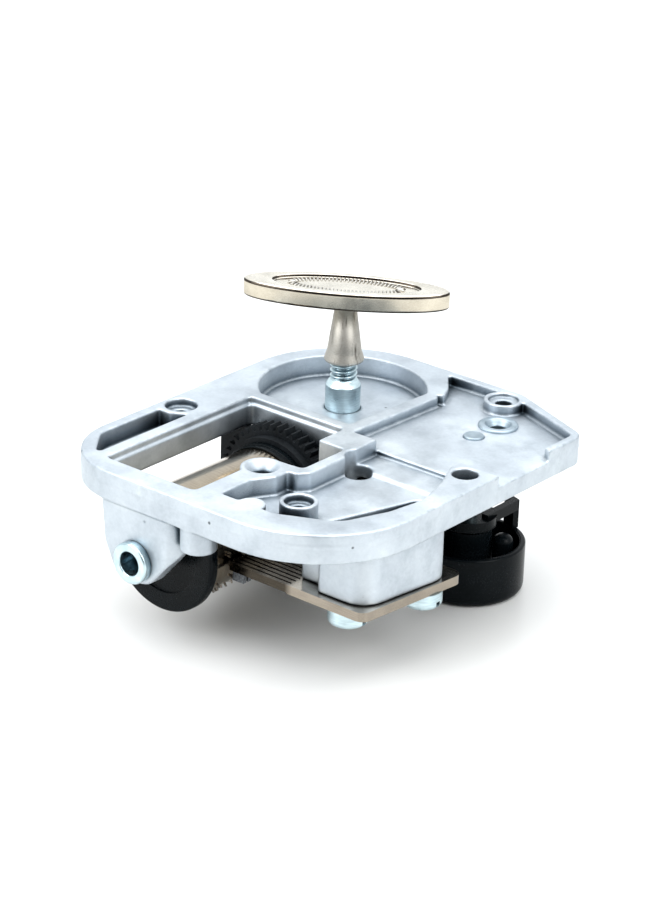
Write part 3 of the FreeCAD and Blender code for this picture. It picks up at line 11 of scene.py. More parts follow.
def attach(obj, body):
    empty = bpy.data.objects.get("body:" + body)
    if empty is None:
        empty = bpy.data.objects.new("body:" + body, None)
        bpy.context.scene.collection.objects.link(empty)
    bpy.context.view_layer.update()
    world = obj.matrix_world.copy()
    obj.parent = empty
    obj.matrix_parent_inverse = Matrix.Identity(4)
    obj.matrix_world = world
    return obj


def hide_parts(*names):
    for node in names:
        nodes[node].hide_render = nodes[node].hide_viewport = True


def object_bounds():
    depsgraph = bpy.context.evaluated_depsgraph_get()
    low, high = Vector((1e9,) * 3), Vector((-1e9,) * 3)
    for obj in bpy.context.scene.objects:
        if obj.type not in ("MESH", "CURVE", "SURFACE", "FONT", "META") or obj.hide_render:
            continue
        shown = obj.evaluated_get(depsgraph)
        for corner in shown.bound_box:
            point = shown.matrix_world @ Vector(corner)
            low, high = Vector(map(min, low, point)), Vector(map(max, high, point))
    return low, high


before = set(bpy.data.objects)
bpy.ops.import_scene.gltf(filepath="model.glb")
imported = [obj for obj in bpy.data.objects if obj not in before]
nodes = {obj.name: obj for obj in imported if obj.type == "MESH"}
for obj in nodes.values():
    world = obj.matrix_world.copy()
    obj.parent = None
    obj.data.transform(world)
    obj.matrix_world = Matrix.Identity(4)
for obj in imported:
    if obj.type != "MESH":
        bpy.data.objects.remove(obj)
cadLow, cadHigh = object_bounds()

scene = bpy.context.scene
milli = 0.001  # the model is in metres, sizes below are in millimetres
fullTint = {"data_type": "RGBA", "blend_type": "MULTIPLY", 0: 1.0}  # a Mix node that multiplies two colours


def linear(hexColour):
    parts = [int(hexColour[k:k + 2], 16) / 255 for k in (1, 3, 5)]
    return [c / 12.92 if c <= 0.04045 else ((c + 0.055) / 1.055) ** 2.4 for c in parts] + [1.0]


def grains(size):
    return 1000 / size  # texture scale for a feature of this many millimetres


def addNode(material, kind, settings=None, links=None):
    tree = material.node_tree
    node = tree.nodes.new("ShaderNode" + kind)
    for key, value in (settings or {}).items():
        if key == "stops":
            while len(node.color_ramp.elements) < len(value):
                node.color_ramp.elements.new(0.5)
            for element, (place, colour) in zip(node.color_ramp.elements, value):
                element.position = place
                element.color = linear(colour)
        elif isinstance(key, int) or key in node.inputs:
            node.inputs[key].default_value = value
        else:
            setattr(node, key, value)
    for key, (source, output) in (links or {}).items():
        tree.links.new(source.outputs[output], node.inputs[key])
    return node


def startMaterial(name, **sockets):
    material = bpy.data.materials.new(name)
    material.use_nodes = True
    material.node_tree.nodes.clear()
    settings = {key.replace("_", " "): value for key, value in sockets.items()}
    shader = addNode(material, "BsdfPrincipled", settings)
    addNode(material, "OutputMaterial", links={"Surface": (shader, "BSDF")})
    coords = addNode(material, "TexCoord")
    return material, shader, coords


def join(material, shader, **sources):
    for key, (source, output) in sources.items():
        material.node_tree.links.new(source.outputs[output], shader.inputs[key.replace("_", " ")])
    return material


# Zinc alloy, die-cast: bluish grey satin skin, faintly cloudy from the flow of the metal, with a few pin
# holes, rubbed edges that are partly painted shade, and painted shade in the corners, in the creases and on
# the inner walls.
castZinc = {
    "dark": "#A6AEB6", "mid": "#BBC3CA", "light": "#CDD4D9", "smudge": "#98A2AA", "pit": "#3C4045",
    "rubAndShade": "#7A848D", "deep": "#2C353C", "hollow": "#8E9AA3", "crease": "#3F4A52", "wallShade": "#3F4A52",
    "cloud": 6.0, "smear": 3.5, "pitSpacing": 6.5, "rubLength": 1.6,
    "grain": 0.35,  # the skin's grain is finer, and is drawn this coarse to show
    "hollowReach": 3.0, "creaseReach": 0.9, "wallReach": 6.0, "relief": 0.02, "rough": (0.42, 0.56),
}


def zincSkin(material, coords):
    s = castZinc
    cloud = addNode(material, "TexNoise", {"Scale": grains(s["cloud"]), "Detail": 5.0, "Roughness": 0.6},
                    {"Vector": (coords, "Object")})
    grain = addNode(material, "TexNoise", {"Scale": grains(s["grain"]), "Detail": 2.0},
                    {"Vector": (coords, "Object")})
    mottle = addNode(material, "Mix", {"data_type": "FLOAT", 0: 0.16},
                     {2: (cloud, "Fac"), 3: (grain, "Fac")})
    tone = addNode(material, "ValToRGB", {"stops": [(0.3, s["dark"]), (0.5, s["mid"]), (0.7, s["light"])]},
                   {"Fac": (mottle, 0)})
    smears = addNode(material, "TexNoise", {"Scale": grains(s["smear"]), "Detail": 5.0, "Roughness": 0.7},
                     {"Vector": (coords, "Object")})
    smearMask = addNode(material, "MapRange", {"From Min": 0.52, "From Max": 0.7, "To Max": 0.4},
                        {"Value": (smears, "Fac")})
    smeared = addNode(material, "Mix", {"data_type": "RGBA", 7: linear(s["smudge"])},
                      {0: (smearMask, 0), 6: (tone, "Color")})
    return mottle, smeared


def zincWearAndShade(material, coords, edge, skin):
    # painted shade in the hollows, then pin holes, and rubbed edges that are partly painted shade
    s = castZinc
    corners = addNode(material, "AmbientOcclusion", {"samples": 8, "only_local": True,
                                                     "Distance": s["hollowReach"] * milli})
    depths = [(0.28, s["deep"]), (0.5, s["hollow"]), (0.78, "#FFFFFF")]
    hollowShade = addNode(material, "ValToRGB", {"stops": depths}, {"Fac": (corners, "AO")})
    sunk = addNode(material, "Mix", fullTint, {6: (skin, 2), 7: (hollowShade, "Color")})
    pits = addNode(material, "TexVoronoi", {"Scale": grains(s["pitSpacing"])},
                   {"Vector": (coords, "Object")})
    pitRange = {"From Min": 0.02, "From Max": 0.035, "To Min": 0.8, "To Max": 0.0}
    pitMask = addNode(material, "MapRange", pitRange, {"Value": (pits, "Distance")})
    pitted = addNode(material, "Mix", {"data_type": "RGBA", 7: linear(s["pit"])},
                     {0: (pitMask, 0), 6: (sunk, 2)})
    # rubbed edges: patches of the convex rims are darkened, partly as wear and partly as painted shade for
    # the dark reflection along them
    edgeMask = addNode(material, "MapRange", {"From Min": 0.515, "From Max": 0.57},
                       {"Value": (edge, "Pointiness")})
    rubs = addNode(material, "TexNoise", {"Scale": grains(s["rubLength"]), "Detail": 4.0, "Roughness": 0.7},
                   {"Vector": (coords, "Object")})
    rubMask = addNode(material, "MapRange", {"From Min": 0.45, "From Max": 0.62, "To Max": 0.9},
                      {"Value": (rubs, "Fac")})
    wornAndShaded = addNode(material, "Math", {"operation": "MULTIPLY"}, {0: (edgeMask, 0), 1: (rubMask, 0)})
    return addNode(material, "Mix", {"data_type": "RGBA", 7: linear(s["rubAndShade"])},
                   {0: (wornAndShaded, 0), 6: (pitted, 2)})


def zincCreaseShade(material, edge, wornAndShaded):
    s = castZinc
    # painted shade: concave creases and valleys are darkened
    creases = addNode(material, "AmbientOcclusion", {"samples": 8, "only_local": True,
                                                     "Distance": s["creaseReach"] * milli})
    creaseRange = {"From Min": 0.5, "From Max": 0.85, "To Min": 0.9, "To Max": 0.0}
    creaseMask = addNode(material, "MapRange", creaseRange, {"Value": (creases, "AO")})
    valleyRange = {"From Min": 0.44, "From Max": 0.492, "To Min": 0.6, "To Max": 0.0}
    valley = addNode(material, "MapRange", valleyRange, {"Value": (edge, "Pointiness")})
    creaseShade = addNode(material, "Math", {"operation": "MAXIMUM"}, {0: (creaseMask, 0), 1: (valley, 0)})
    return addNode(material, "Mix", {"data_type": "RGBA", 7: linear(s["crease"])},
                   {0: (creaseShade, 0), 6: (wornAndShaded, 2)})


def zincWallShade(material, coords, creaseShaded):
    # painted shade on steep walls that face each other or the gears
    s = castZinc
    facing = addNode(material, "SeparateXYZ", links={"Vector": (coords, "Normal")})
    level = addNode(material, "Math", {"operation": "ABSOLUTE"}, {0: (facing, "Z")})
    steep = addNode(material, "MapRange", {"From Min": 0.3, "From Max": 0.8, "To Min": 1.0, "To Max": 0.0},
                    {"Value": (level, 0)})
    enclosed = addNode(material, "AmbientOcclusion", {"samples": 8, "Distance": s["wallReach"] * milli})
    wallShadeRange = {"From Min": 0.22, "From Max": 0.54, "To Min": 1.0, "To Max": 0.0}
    wallShadeDepth = addNode(material, "MapRange", wallShadeRange, {"Value": (enclosed, "AO")})
    wallShade = addNode(material, "Math", {"operation": "MULTIPLY"}, {0: (steep, 0), 1: (wallShadeDepth, 0)})
    return addNode(material, "Mix", {"data_type": "RGBA", "blend_type": "MULTIPLY", 7: linear(s["wallShade"])},
                   {0: (wallShade, 0), 6: (creaseShaded, 2)})


def makeCastZinc():
    s = castZinc
    material, shader, coords = startMaterial("dieCastZinc", Metallic=0.95)
    edge = addNode(material, "NewGeometry")
    mottle, skin = zincSkin(material, coords)
    wornAndShaded = zincWearAndShade(material, coords, edge, skin)
    shadedTone = zincWallShade(material, coords, zincCreaseShade(material, edge, wornAndShaded))
    rough = addNode(material, "MapRange", {"From Min": 0.35, "From Max": 0.65, "To Min": s["rough"][0],
                                           "To Max": s["rough"][1]}, {"Value": (mottle, 0)})
    relief = addNode(material, "Bump", {"Strength": 0.4, "Distance": s["relief"] * milli},
                     {"Height": (mottle, 0)})
    return join(material, shader, Base_Color=(shadedTone, 2), Roughness=(rough, 0), Normal=(relief, "Normal"))


# Bright zinc plate on turned steel: cool, glossy, with faint rings from the lathe, and dull where the parts
# were tumbled.
platedSteel = {
    "zincPlateUpright": {"axis": 2, "rough": (0.26, 0.38), "alone": True, "dark": "#A0B5BC",
                         "light": "#CCDEE3"},
    "zincPlateLengthwise": {"axis": 1, "rough": (0.16, 0.3), "alone": False, "dark": "#A0B5BC",
                            "light": "#CCDEE3"},
    "tumbledZincPlate": {"axis": 2, "rough": (0.42, 0.56), "alone": True, "dark": "#86959E",
                         "light": "#AAB7C0"},
}
# Lathe rings are about 0.03 mm apart, and are drawn coarser to show.
plateGrain = {"ring": 0.12, "along": 0.08, "cloud": 1.8, "relief": 0.01, "reach": 2.0, "deep": "#10161A",
              "hollow": "#8A969E"}


def makePlatedSteel(name):
    s = {**platedSteel[name], **plateGrain}
    material, shader, coords = startMaterial(name, Metallic=1.0)
    squeeze = [s["along"]] * 3
    squeeze[s["axis"]] = 1.0
    stretched = addNode(material, "Mapping", {"Scale": squeeze}, {"Vector": (coords, "Object")})
    rings = addNode(material, "TexNoise", {"Scale": grains(s["ring"]), "Detail": 2.0},
                    {"Vector": (stretched, "Vector")})
    cloud = addNode(material, "TexNoise", {"Scale": grains(s["cloud"]), "Detail": 3.0},
                    {"Vector": (coords, "Object")})
    both = addNode(material, "Mix", {"data_type": "FLOAT", 0: 0.5}, {2: (rings, "Fac"), 3: (cloud, "Fac")})
    tone = addNode(material, "ValToRGB", {"stops": [(0.3, s["dark"]), (0.62, s["light"])]},
                   {"Fac": (both, 0)})
    rough = addNode(material, "MapRange", {"From Min": 0.3, "From Max": 0.7, "To Min": s["rough"][0],
                                           "To Max": s["rough"][1]}, {"Value": (cloud, "Fac")})
    relief = addNode(material, "Bump", {"Strength": 0.35, "Distance": s["relief"] * milli},
                     {"Height": (rings, "Fac")})
    # painted shade: hollows and bores are darkened by how enclosed they are
    corners = addNode(material, "AmbientOcclusion", {"samples": 8, "only_local": s["alone"],
                                                     "Distance": s["reach"] * milli})
    depths = [(0.25, s["deep"]), (0.5, s["hollow"]), (0.8, "#FFFFFF")]
    hollowShade = addNode(material, "ValToRGB", {"stops": depths}, {"Fac": (corners, "AO")})
    sunk = addNode(material, "Mix", fullTint, {6: (tone, "Color"), 7: (hollowShade, "Color")})
    return join(material, shader, Base_Color=(sunk, 2), Roughness=(rough, 0), Normal=(relief, "Normal"))


# Satin nickel plate: warm white and bright on the flats, with painted shade on the sides and, darkest, on
# the rounded edges of the stamping, set by how steeply the surface faces, and duller on the turned stem,
# where dark streaks run along it.
nickelPlate = {
    "stampedNickelPlate": {"dark": "#C6C0B4", "light": "#E6E0D4", "rim": "#E2DFD8", "edge": "#4A4541",
                           "rough": (0.1, 0.18), "streak": 0.0},
    "turnedNickelPlate": {"dark": "#A9A7A2", "light": "#C9C7C2", "rim": "#F0EEEA", "edge": "#D8D6D2",
                          "rough": (0.4, 0.5), "streak": 0.85},
}
# Brush lines are about 0.02 mm wide, and are drawn coarser to show.
nickelGrain = {"line": 0.09, "squeeze": (0.4, 0.4, 1.0), "cloud": 2.2, "streakWidth": 0.7,
               "streakDraw": (1.0, 1.0, 0.07), "sootAndShade": "#565049", "relief": 0.008}


def makeNickelPlate(name):
    s = {**nickelPlate[name], **nickelGrain}
    material, shader, coords = startMaterial(name, Metallic=1.0)
    stretched = addNode(material, "Mapping", {"Scale": s["squeeze"]}, {"Vector": (coords, "Object")})
    lines = addNode(material, "TexNoise", {"Scale": grains(s["line"]), "Detail": 2.0},
                    {"Vector": (stretched, "Vector")})
    cloud = addNode(material, "TexNoise", {"Scale": grains(s["cloud"]), "Detail": 4.0},
                    {"Vector": (coords, "Object")})
    both = addNode(material, "Mix", {"data_type": "FLOAT", 0: 0.6}, {2: (lines, "Fac"), 3: (cloud, "Fac")})
    tone = addNode(material, "ValToRGB", {"stops": [(0.3, s["dark"]), (0.6, s["light"])]},
                   {"Fac": (both, 0)})
    drawn = addNode(material, "Mapping", {"Scale": s["streakDraw"]}, {"Vector": (coords, "Object")})
    streaks = addNode(material, "TexNoise", {"Scale": grains(s["streakWidth"]), "Detail": 3.0},
                      {"Vector": (drawn, "Vector")})
    streakMask = addNode(material, "MapRange", {"From Min": 0.56, "From Max": 0.66, "To Max": s["streak"]},
                         {"Value": (streaks, "Fac")})
    streaked = addNode(material, "Mix", {"data_type": "RGBA", 7: linear(s["sootAndShade"])},
                       {0: (streakMask, 0), 6: (tone, "Color")})
    # painted shade: sides and rounded edges are darkened by how steeply they face, darkest on the
    # stamping's rounded edges
    facing = addNode(material, "NewGeometry")
    tilt = addNode(material, "SeparateXYZ", links={"Vector": (facing, "Normal")})
    level = addNode(material, "Math", {"operation": "ABSOLUTE"}, {0: (tilt, "Z")})
    tilts = [(0.1, s["rim"]), (0.16, s["edge"]), (0.66, s["edge"]), (0.8, "#FFFFFF")]
    rim = addNode(material, "ValToRGB", {"stops": tilts}, {"Fac": (level, 0)})
    colour = addNode(material, "Mix", fullTint, {6: (streaked, 2), 7: (rim, "Color")})
    rough = addNode(material, "MapRange", {"From Min": 0.3, "From Max": 0.7, "To Min": s["rough"][0],
                                           "To Max": s["rough"][1]}, {"Value": (both, 0)})
    relief = addNode(material, "Bump", {"Strength": 0.15, "Distance": s["relief"] * milli},
                     {"Height": (lines, "Fac")})
    return join(material, shader, Base_Color=(colour, 2), Roughness=(rough, 0), Normal=(relief, "Normal"))


# Spring steel, surface-ground: warm grey, with straight grinding lines along the teeth, painted shade that
# darkens the teeth, duller sheared edges and painted shade in the corners. The lines are finer, and are
# drawn coarser to show.
groundSteel = {"dark": "#A39E95", "light": "#C6C0B6", "sootAndShade": "#4A4744", "teethShade": "#767471",
               "sheared": "#C6C0B9", "toothEnd": (7.6, 8.6), "line": 0.1, "squeeze": (0.06, 1.0, 1.0),
               "cloud": 3.0, "reach": 3.0, "relief": 0.01, "rough": (0.16, 0.26)}


def makeGroundSteel():
    s = groundSteel
    material, shader, coords = startMaterial("groundSpringSteel", Metallic=1.0)
    stretched = addNode(material, "Mapping", {"Scale": s["squeeze"]}, {"Vector": (coords, "Object")})
    lines = addNode(material, "TexNoise", {"Scale": grains(s["line"]), "Detail": 3.0},
                    {"Vector": (stretched, "Vector")})
    cloud = addNode(material, "TexNoise", {"Scale": grains(s["cloud"]), "Detail": 3.0},
                    {"Vector": (coords, "Object")})
    both = addNode(material, "Mix", {"data_type": "FLOAT", 0: 0.45}, {2: (lines, "Fac"), 3: (cloud, "Fac")})
    tone = addNode(material, "ValToRGB", {"stops": [(0.3, s["dark"]), (0.6, s["light"])]},
                   {"Fac": (both, 0)})
    rough = addNode(material, "MapRange", {"From Min": 0.3, "From Max": 0.7, "To Min": s["rough"][0],
                                           "To Max": s["rough"][1]}, {"Value": (both, 0)})
    relief = addNode(material, "Bump", {"Strength": 0.3, "Distance": s["relief"] * milli},
                     {"Height": (lines, "Fac")})
    # painted shade in the corners
    corners = addNode(material, "AmbientOcclusion", {"samples": 8, "Distance": s["reach"] * milli})
    cornerShade = addNode(material, "ValToRGB", {"stops": [(0.35, s["sootAndShade"]), (0.75, "#FFFFFF")]},
                  {"Fac": (corners, "AO")})
    # painted shade: the teeth are darker than the heel, standing in for the shaded plate mirrored in them
    place = addNode(material, "SeparateXYZ", links={"Vector": (coords, "Object")})
    tooth, body = s["toothEnd"]
    heel = addNode(material, "MapRange", {"From Min": tooth * milli, "From Max": body * milli},
                   {"Value": (place, "X")})
    teethShaded = addNode(material, "ValToRGB", {"stops": [(0.0, s["teethShade"]), (1.0, "#FFFFFF")]},
                       {"Fac": (heel, 0)})
    shadedTone = addNode(material, "Mix", fullTint, {6: (tone, "Color"), 7: (cornerShade, "Color")})
    dull = addNode(material, "Mix", fullTint, {6: (shadedTone, 2), 7: (teethShaded, "Color")})
    facing = addNode(material, "SeparateXYZ", links={"Vector": (coords, "Normal")})
    flat = addNode(material, "Math", {"operation": "ABSOLUTE"}, {0: (facing, "Z")})
    shear = addNode(material, "ValToRGB", {"stops": [(0.3, s["sheared"]), (0.8, "#FFFFFF")]},
                    {"Fac": (flat, 0)})
    cut = addNode(material, "Mix", fullTint, {6: (dull, 2), 7: (shear, "Color")})
    return join(material, shader, Base_Color=(cut, 2), Roughness=(rough, 0), Normal=(relief, "Normal"))


# Plain metals: drawn brass with fine lines, blued strip, ground wire and dull cast lead, all with painted
# brown shade in the corners. Drawing and grinding lines are finer, and are drawn coarser to show.
plainMetals = {
    "drawnBrassTube": {"dark": "#9A8E7D", "light": "#ACA18F", "grain": 0.16, "rough": (0.12, 0.2),
                       "squeeze": (0.08, 1.0, 0.08)},
    "bluedSpringSteel": {"dark": "#4C5561", "light": "#8C95A1", "grain": 0.3, "rough": (0.28, 0.42),
                         "squeeze": (1.0, 1.0, 0.1)},
    "groundPinWire": {"dark": "#7B736A", "light": "#C4BBAE", "grain": 0.1, "rough": (0.25, 0.4),
                      "squeeze": (1.0, 1.0, 1.0)},
    "castLead": {"dark": "#55585C", "light": "#85898D", "grain": 0.25, "rough": (0.5, 0.68),
                 "squeeze": (1.0, 1.0, 1.0)},
}
cornerShadeAndRelief = {"cornerShade": "#4A423A", "reach": 4.0, "relief": 0.012}


def makePlainMetal(name):
    s = {**plainMetals[name], **cornerShadeAndRelief}
    material, shader, coords = startMaterial(name, Metallic=1.0)
    stretched = addNode(material, "Mapping", {"Scale": s["squeeze"]}, {"Vector": (coords, "Object")})
    grain = addNode(material, "TexNoise", {"Scale": grains(s["grain"]), "Detail": 3.0},
                    {"Vector": (stretched, "Vector")})
    tone = addNode(material, "ValToRGB", {"stops": [(0.3, s["dark"]), (0.65, s["light"])]},
                   {"Fac": (grain, "Fac")})
    rough = addNode(material, "MapRange", {"To Min": s["rough"][0], "To Max": s["rough"][1]},
                    {"Value": (grain, "Fac")})
    relief = addNode(material, "Bump", {"Strength": 0.4, "Distance": s["relief"] * milli},
                     {"Height": (grain, "Fac")})
    # painted brown shade in the corners
    corners = addNode(material, "AmbientOcclusion", {"samples": 8, "Distance": s["reach"] * milli})
    cornerShade = addNode(material, "ValToRGB", {"stops": [(0.25, s["cornerShade"]), (0.75, "#FFFFFF")]},
                  {"Fac": (corners, "AO")})
    shadedTone = addNode(material, "Mix", fullTint, {6: (tone, "Color"), 7: (cornerShade, "Color")})
    return join(material, shader, Base_Color=(shadedTone, 2), Roughness=(rough, 0), Normal=(relief, "Normal"))


# Moulded plastics: acetal is smooth and waxy, filled nylon is duller with a coarser skin.
plastics = {
    "mouldedBlackAcetal": {"dark": "#05090B", "light": "#0B1013", "grain": 0.22, "rough": (0.22, 0.3),
                           "ior": 1.48, "shine": 0.08, "relief": 0.01},
    "mouldedBlackNylon": {"dark": "#0C0E10", "light": "#1A1E21", "grain": 0.3, "rough": (0.45, 0.6),
                          "ior": 1.53, "shine": 0.08, "relief": 0.02},
    "mouldedNaturalAcetal": {"dark": "#CFCABD", "light": "#E9E6DD", "grain": 0.3, "rough": (0.34, 0.46),
                             "ior": 1.48, "shine": 0.5, "relief": 0.01},
}
plasticCloud = 3.0  # millimetres across, from the flow of the melt


def makePlastic(name):
    s = plastics[name]
    material, shader, coords = startMaterial(name, IOR=s["ior"], Specular_IOR_Level=s["shine"])
    grain = addNode(material, "TexNoise", {"Scale": grains(s["grain"]), "Detail": 2.0},
                    {"Vector": (coords, "Object")})
    cloud = addNode(material, "TexNoise", {"Scale": grains(plasticCloud), "Detail": 4.0},
                    {"Vector": (coords, "Object")})
    both = addNode(material, "Mix", {"data_type": "FLOAT", 0: 0.5}, {2: (grain, "Fac"), 3: (cloud, "Fac")})
    tone = addNode(material, "ValToRGB", {"stops": [(0.35, s["dark"]), (0.65, s["light"])]},
                   {"Fac": (both, 0)})
    rough = addNode(material, "MapRange", {"From Min": 0.3, "From Max": 0.7, "To Min": s["rough"][0],
                                           "To Max": s["rough"][1]}, {"Value": (both, 0)})
    relief = addNode(material, "Bump", {"Strength": 0.4, "Distance": s["relief"] * milli},
                     {"Height": (grain, "Fac")})
    return join(material, shader, Base_Color=(tone, "Color"), Roughness=(rough, 0),
                Normal=(relief, "Normal"))


finishes = {"dieCastZinc": makeCastZinc(), "groundSpringSteel": makeGroundSteel()}
finishes.update({name: makePlatedSteel(name) for name in platedSteel})
finishes.update({name: makeNickelPlate(name) for name in nickelPlate})
finishes.update({name: makePlainMetal(name) for name in plainMetals})
finishes.update({name: makePlastic(name) for name in plastics})
print("finishes", len(finishes))

nodeFinish = {
    "front_bushing": "zincPlateLengthwise", "rear_bushing": "drawnBrassTube",
    "spring_housing": "mouldedBlackNylon", "housing_screws": "zincPlateUpright",
    "mainspring": "bluedSpringSteel", "winding_arbor": "zincPlateUpright", "key_stem": "turnedNickelPlate",
    "key_knob": "stampedNickelPlate", "ratchet_wheel": "zincPlateUpright",
    "spring_gear": "mouldedNaturalAcetal", "ratchet_click": "bluedSpringSteel",
    "cylinder": "drawnBrassTube", "cylinder_pins": "groundPinWire",
    "end_cap": "mouldedBlackAcetal", "cylinder_gear": "mouldedBlackNylon",
    "cylinder_pinion": "mouldedBlackAcetal", "cylinder_axle": "zincPlateLengthwise",
    "comb": "groundSpringSteel", "comb_screws": "zincPlateUpright", "bass_weights": "castLead",
    "idler_pinion": "mouldedBlackAcetal", "worm_wheel": "mouldedNaturalAcetal",
    "idler_axle": "zincPlateLengthwise", "governor_worm": "zincPlateUpright",
    "governor_rotor": "mouldedBlackAcetal", "governor_weights": "mouldedBlackAcetal",
    "governor_cup": "mouldedBlackAcetal", "governor_bracket": "mouldedBlackAcetal",
    "governor_rivet": "tumbledZincPlate", "pivot_plug": "tumbledZincPlate", "frame": "dieCastZinc",
}
for name, finish in nodeFinish.items():
    nodes[name].data.materials.clear()
    nodes[name].data.materials.append(finishes[finish])

# Bevels in millimetres on the pieces that stay as the frame gives them.
nodeBevels = {"comb": 0.06, "cylinder_gear": 0.04, "governor_bracket": 0.12, "spring_housing": 0.12,
              "governor_rotor": 0.12, "bass_weights": 0.05, "comb_screws": 0.08, "ratchet_wheel": 0.05}
flatAngle, bevelAngle = 0.5, 35  # degrees
for name, width in nodeBevels.items():
    flat = nodes[name].modifiers.new("flat", "DECIMATE")
    flat.decimate_type = "DISSOLVE"
    flat.angle_limit = math.radians(flatAngle)
    bevel = nodes[name].modifiers.new("bevel", "BEVEL")
    bevel.width = width * milli
    bevel.segments = 2
    bevel.limit_method = "ANGLE"
    bevel.angle_limit = math.radians(bevelAngle)
    weigh = nodes[name].modifiers.new("weigh", "WEIGHTED_NORMAL")
    weigh.keep_sharp = True


def addPiece(name, mesh, body, node, finish):
    mesh.name = name
    mesh.materials.clear()
    mesh.materials.append(finishes[finish])
    piece = bpy.data.objects.new(name, mesh)
    scene.collection.objects.link(piece)
    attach(piece, body)
    if node:
        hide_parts(node)
    return piece


def roundCorners(profile, steps=5, most=0.49):
    # profile holds (radius, height, rounding), a rounding of 0 keeps the corner, and most is the largest
    # share of an edge that a rounding takes up
    points = []
    for k, (r, h, rounding) in enumerate(profile):
        here = Vector((r, h))
        if not rounding:
            points.append(here)
            continue
        before = Vector(profile[k - 1][:2]) - here
        after = Vector(profile[(k + 1) % len(profile)][:2]) - here
        half = before.angle(after) / 2
        reach = min(rounding / math.tan(half), before.length * most, after.length * most)
        radius = reach * math.tan(half)
        middle = here + (before.normalized() + after.normalized()).normalized() * (radius / math.sin(half))
        start = here + before.normalized() * reach - middle
        turn = start.angle_signed(here + after.normalized() * reach - middle)
        for step in range(steps + 1):
            points.append(middle + Matrix.Rotation(-turn * step / steps, 2) @ start)
    return points


def turnedMesh(points, segments, closed, matrix, shape=None):
    # points are (radius, height), turned about the local z axis
    mesh = bmesh.new()
    rows = []
    for r, h in points:
        if r == 0:
            rows.append([mesh.verts.new((0, 0, h))])
            continue
        row = []
        for k in range(segments):
            angle = 2 * math.pi * k / segments
            radius = shape(r, h, angle) if shape else r
            row.append(mesh.verts.new((radius * math.cos(angle), radius * math.sin(angle), h)))
        rows.append(row)
    for low, high in zip(rows, rows[1:] + (rows[:1] if closed else [])):
        for k in range(segments):
            n = (k + 1) % segments
            ring = [low[k % len(low)], low[n % len(low)], high[n % len(high)], high[k % len(high)]]
            corners = list(dict.fromkeys(ring))
            if len(corners) > 2:
                mesh.faces.new(corners)
    bmesh.ops.recalc_face_normals(mesh, faces=mesh.faces)
    for face in mesh.faces:
        face.smooth = True
    mesh.transform(matrix @ Matrix.Scale(milli, 4))
    made = bpy.data.meshes.new("turned")
    mesh.to_mesh(made)
    mesh.free()
    return made


def upright(x, y, z=0.0):
    return Matrix.Translation(Vector((x, y, z)) * milli)


def lengthwise(x, y, z):
    # local z runs along the cylinder, from its front to its back
    return Matrix.Translation(Vector((x, y, z)) * milli) @ Matrix.Rotation(math.radians(-90), 4, "X")


# Casting: the solid with its edges rounded as the die leaves them.
casting = {"voxel": 0.13, "weld": 1e-4, "smoothing": 6, "outside": 0.5, "inside": 0.15,
           "waviness": 0.012, "waveLength": 3.0,
           "arborHole": (-8.31, 12.5, 2.17), "holeReach": 2.8, "holeShare": 0.1, "holeSnap": 0.2,
           "partingHeight": 18.8, "partingHalf": 0.2, "partingProud": 0.04, "partingSlope": 0.4,
           "rayStart": 0.3, "rayLength": 80,
           "dimples": ((-6.16, -24.3, 15.67), (17.2, -14.72, 11.0)), "dimple": (0.3, 0.12)}


def castBlank():
    # the solid as an even mesh in millimetres, and a tree of its walls
    s = casting
    solid = bmesh.new()
    solid.from_mesh(nodes["frame"].data)
    solid.transform(Matrix.Scale(1 / milli, 4))
    bmesh.ops.remove_doubles(solid, verts=solid.verts, dist=s["weld"])
    walls = BVHTree.FromBMesh(solid)
    rough = bpy.data.meshes.new("rough")
    solid.to_mesh(rough)
    solid.free()
    block = bpy.data.objects.new("block", rough)
    scene.collection.objects.link(block)
    remesh = block.modifiers.new("remesh", "REMESH")
    remesh.mode = "VOXEL"
    remesh.voxel_size = s["voxel"]
    mesh = bpy.data.meshes.new_from_object(block.evaluated_get(bpy.context.evaluated_depsgraph_get()))
    bpy.data.objects.remove(block)
    return mesh, walls


def easeEdges(mesh, places, normals):
    # outer edges are rounded more than inner ones, and the arbor's hole keeps a clean edge
    s = casting
    count = len(places)
    ends = np.empty(len(mesh.edges) * 2, np.int32)
    mesh.edges.foreach_get("vertices", ends)
    ends = np.concatenate((ends.reshape(-1, 2), ends.reshape(-1, 2)[:, ::-1]))
    links = np.bincount(ends[:, 0], minlength=count)[:, None]
    centre = np.array(s["arborHole"][:2], np.float32)
    crisp = np.linalg.norm(places[:, :2] - centre, axis=1) < s["holeReach"]
    for _ in range(s["smoothing"]):
        sums = [np.bincount(ends[:, 0], places[ends[:, 1], k], count) for k in range(3)]
        pull = np.stack(sums, 1) / links - places
        outer = np.sum(pull * normals, axis=1) < 0
        share = np.where(outer, s["outside"], s["inside"]) * np.where(crisp, s["holeShare"], 1.0)
        places += (pull * share[:, None]).astype(np.float32)
    spread = np.linalg.norm(places[:, :2] - centre, axis=1)
    rim = np.abs(spread - s["arborHole"][2]) < s["holeSnap"]
    places[rim, :2] = centre + (places[rim, :2] - centre) * (s["arborHole"][2] / spread[rim])[:, None]


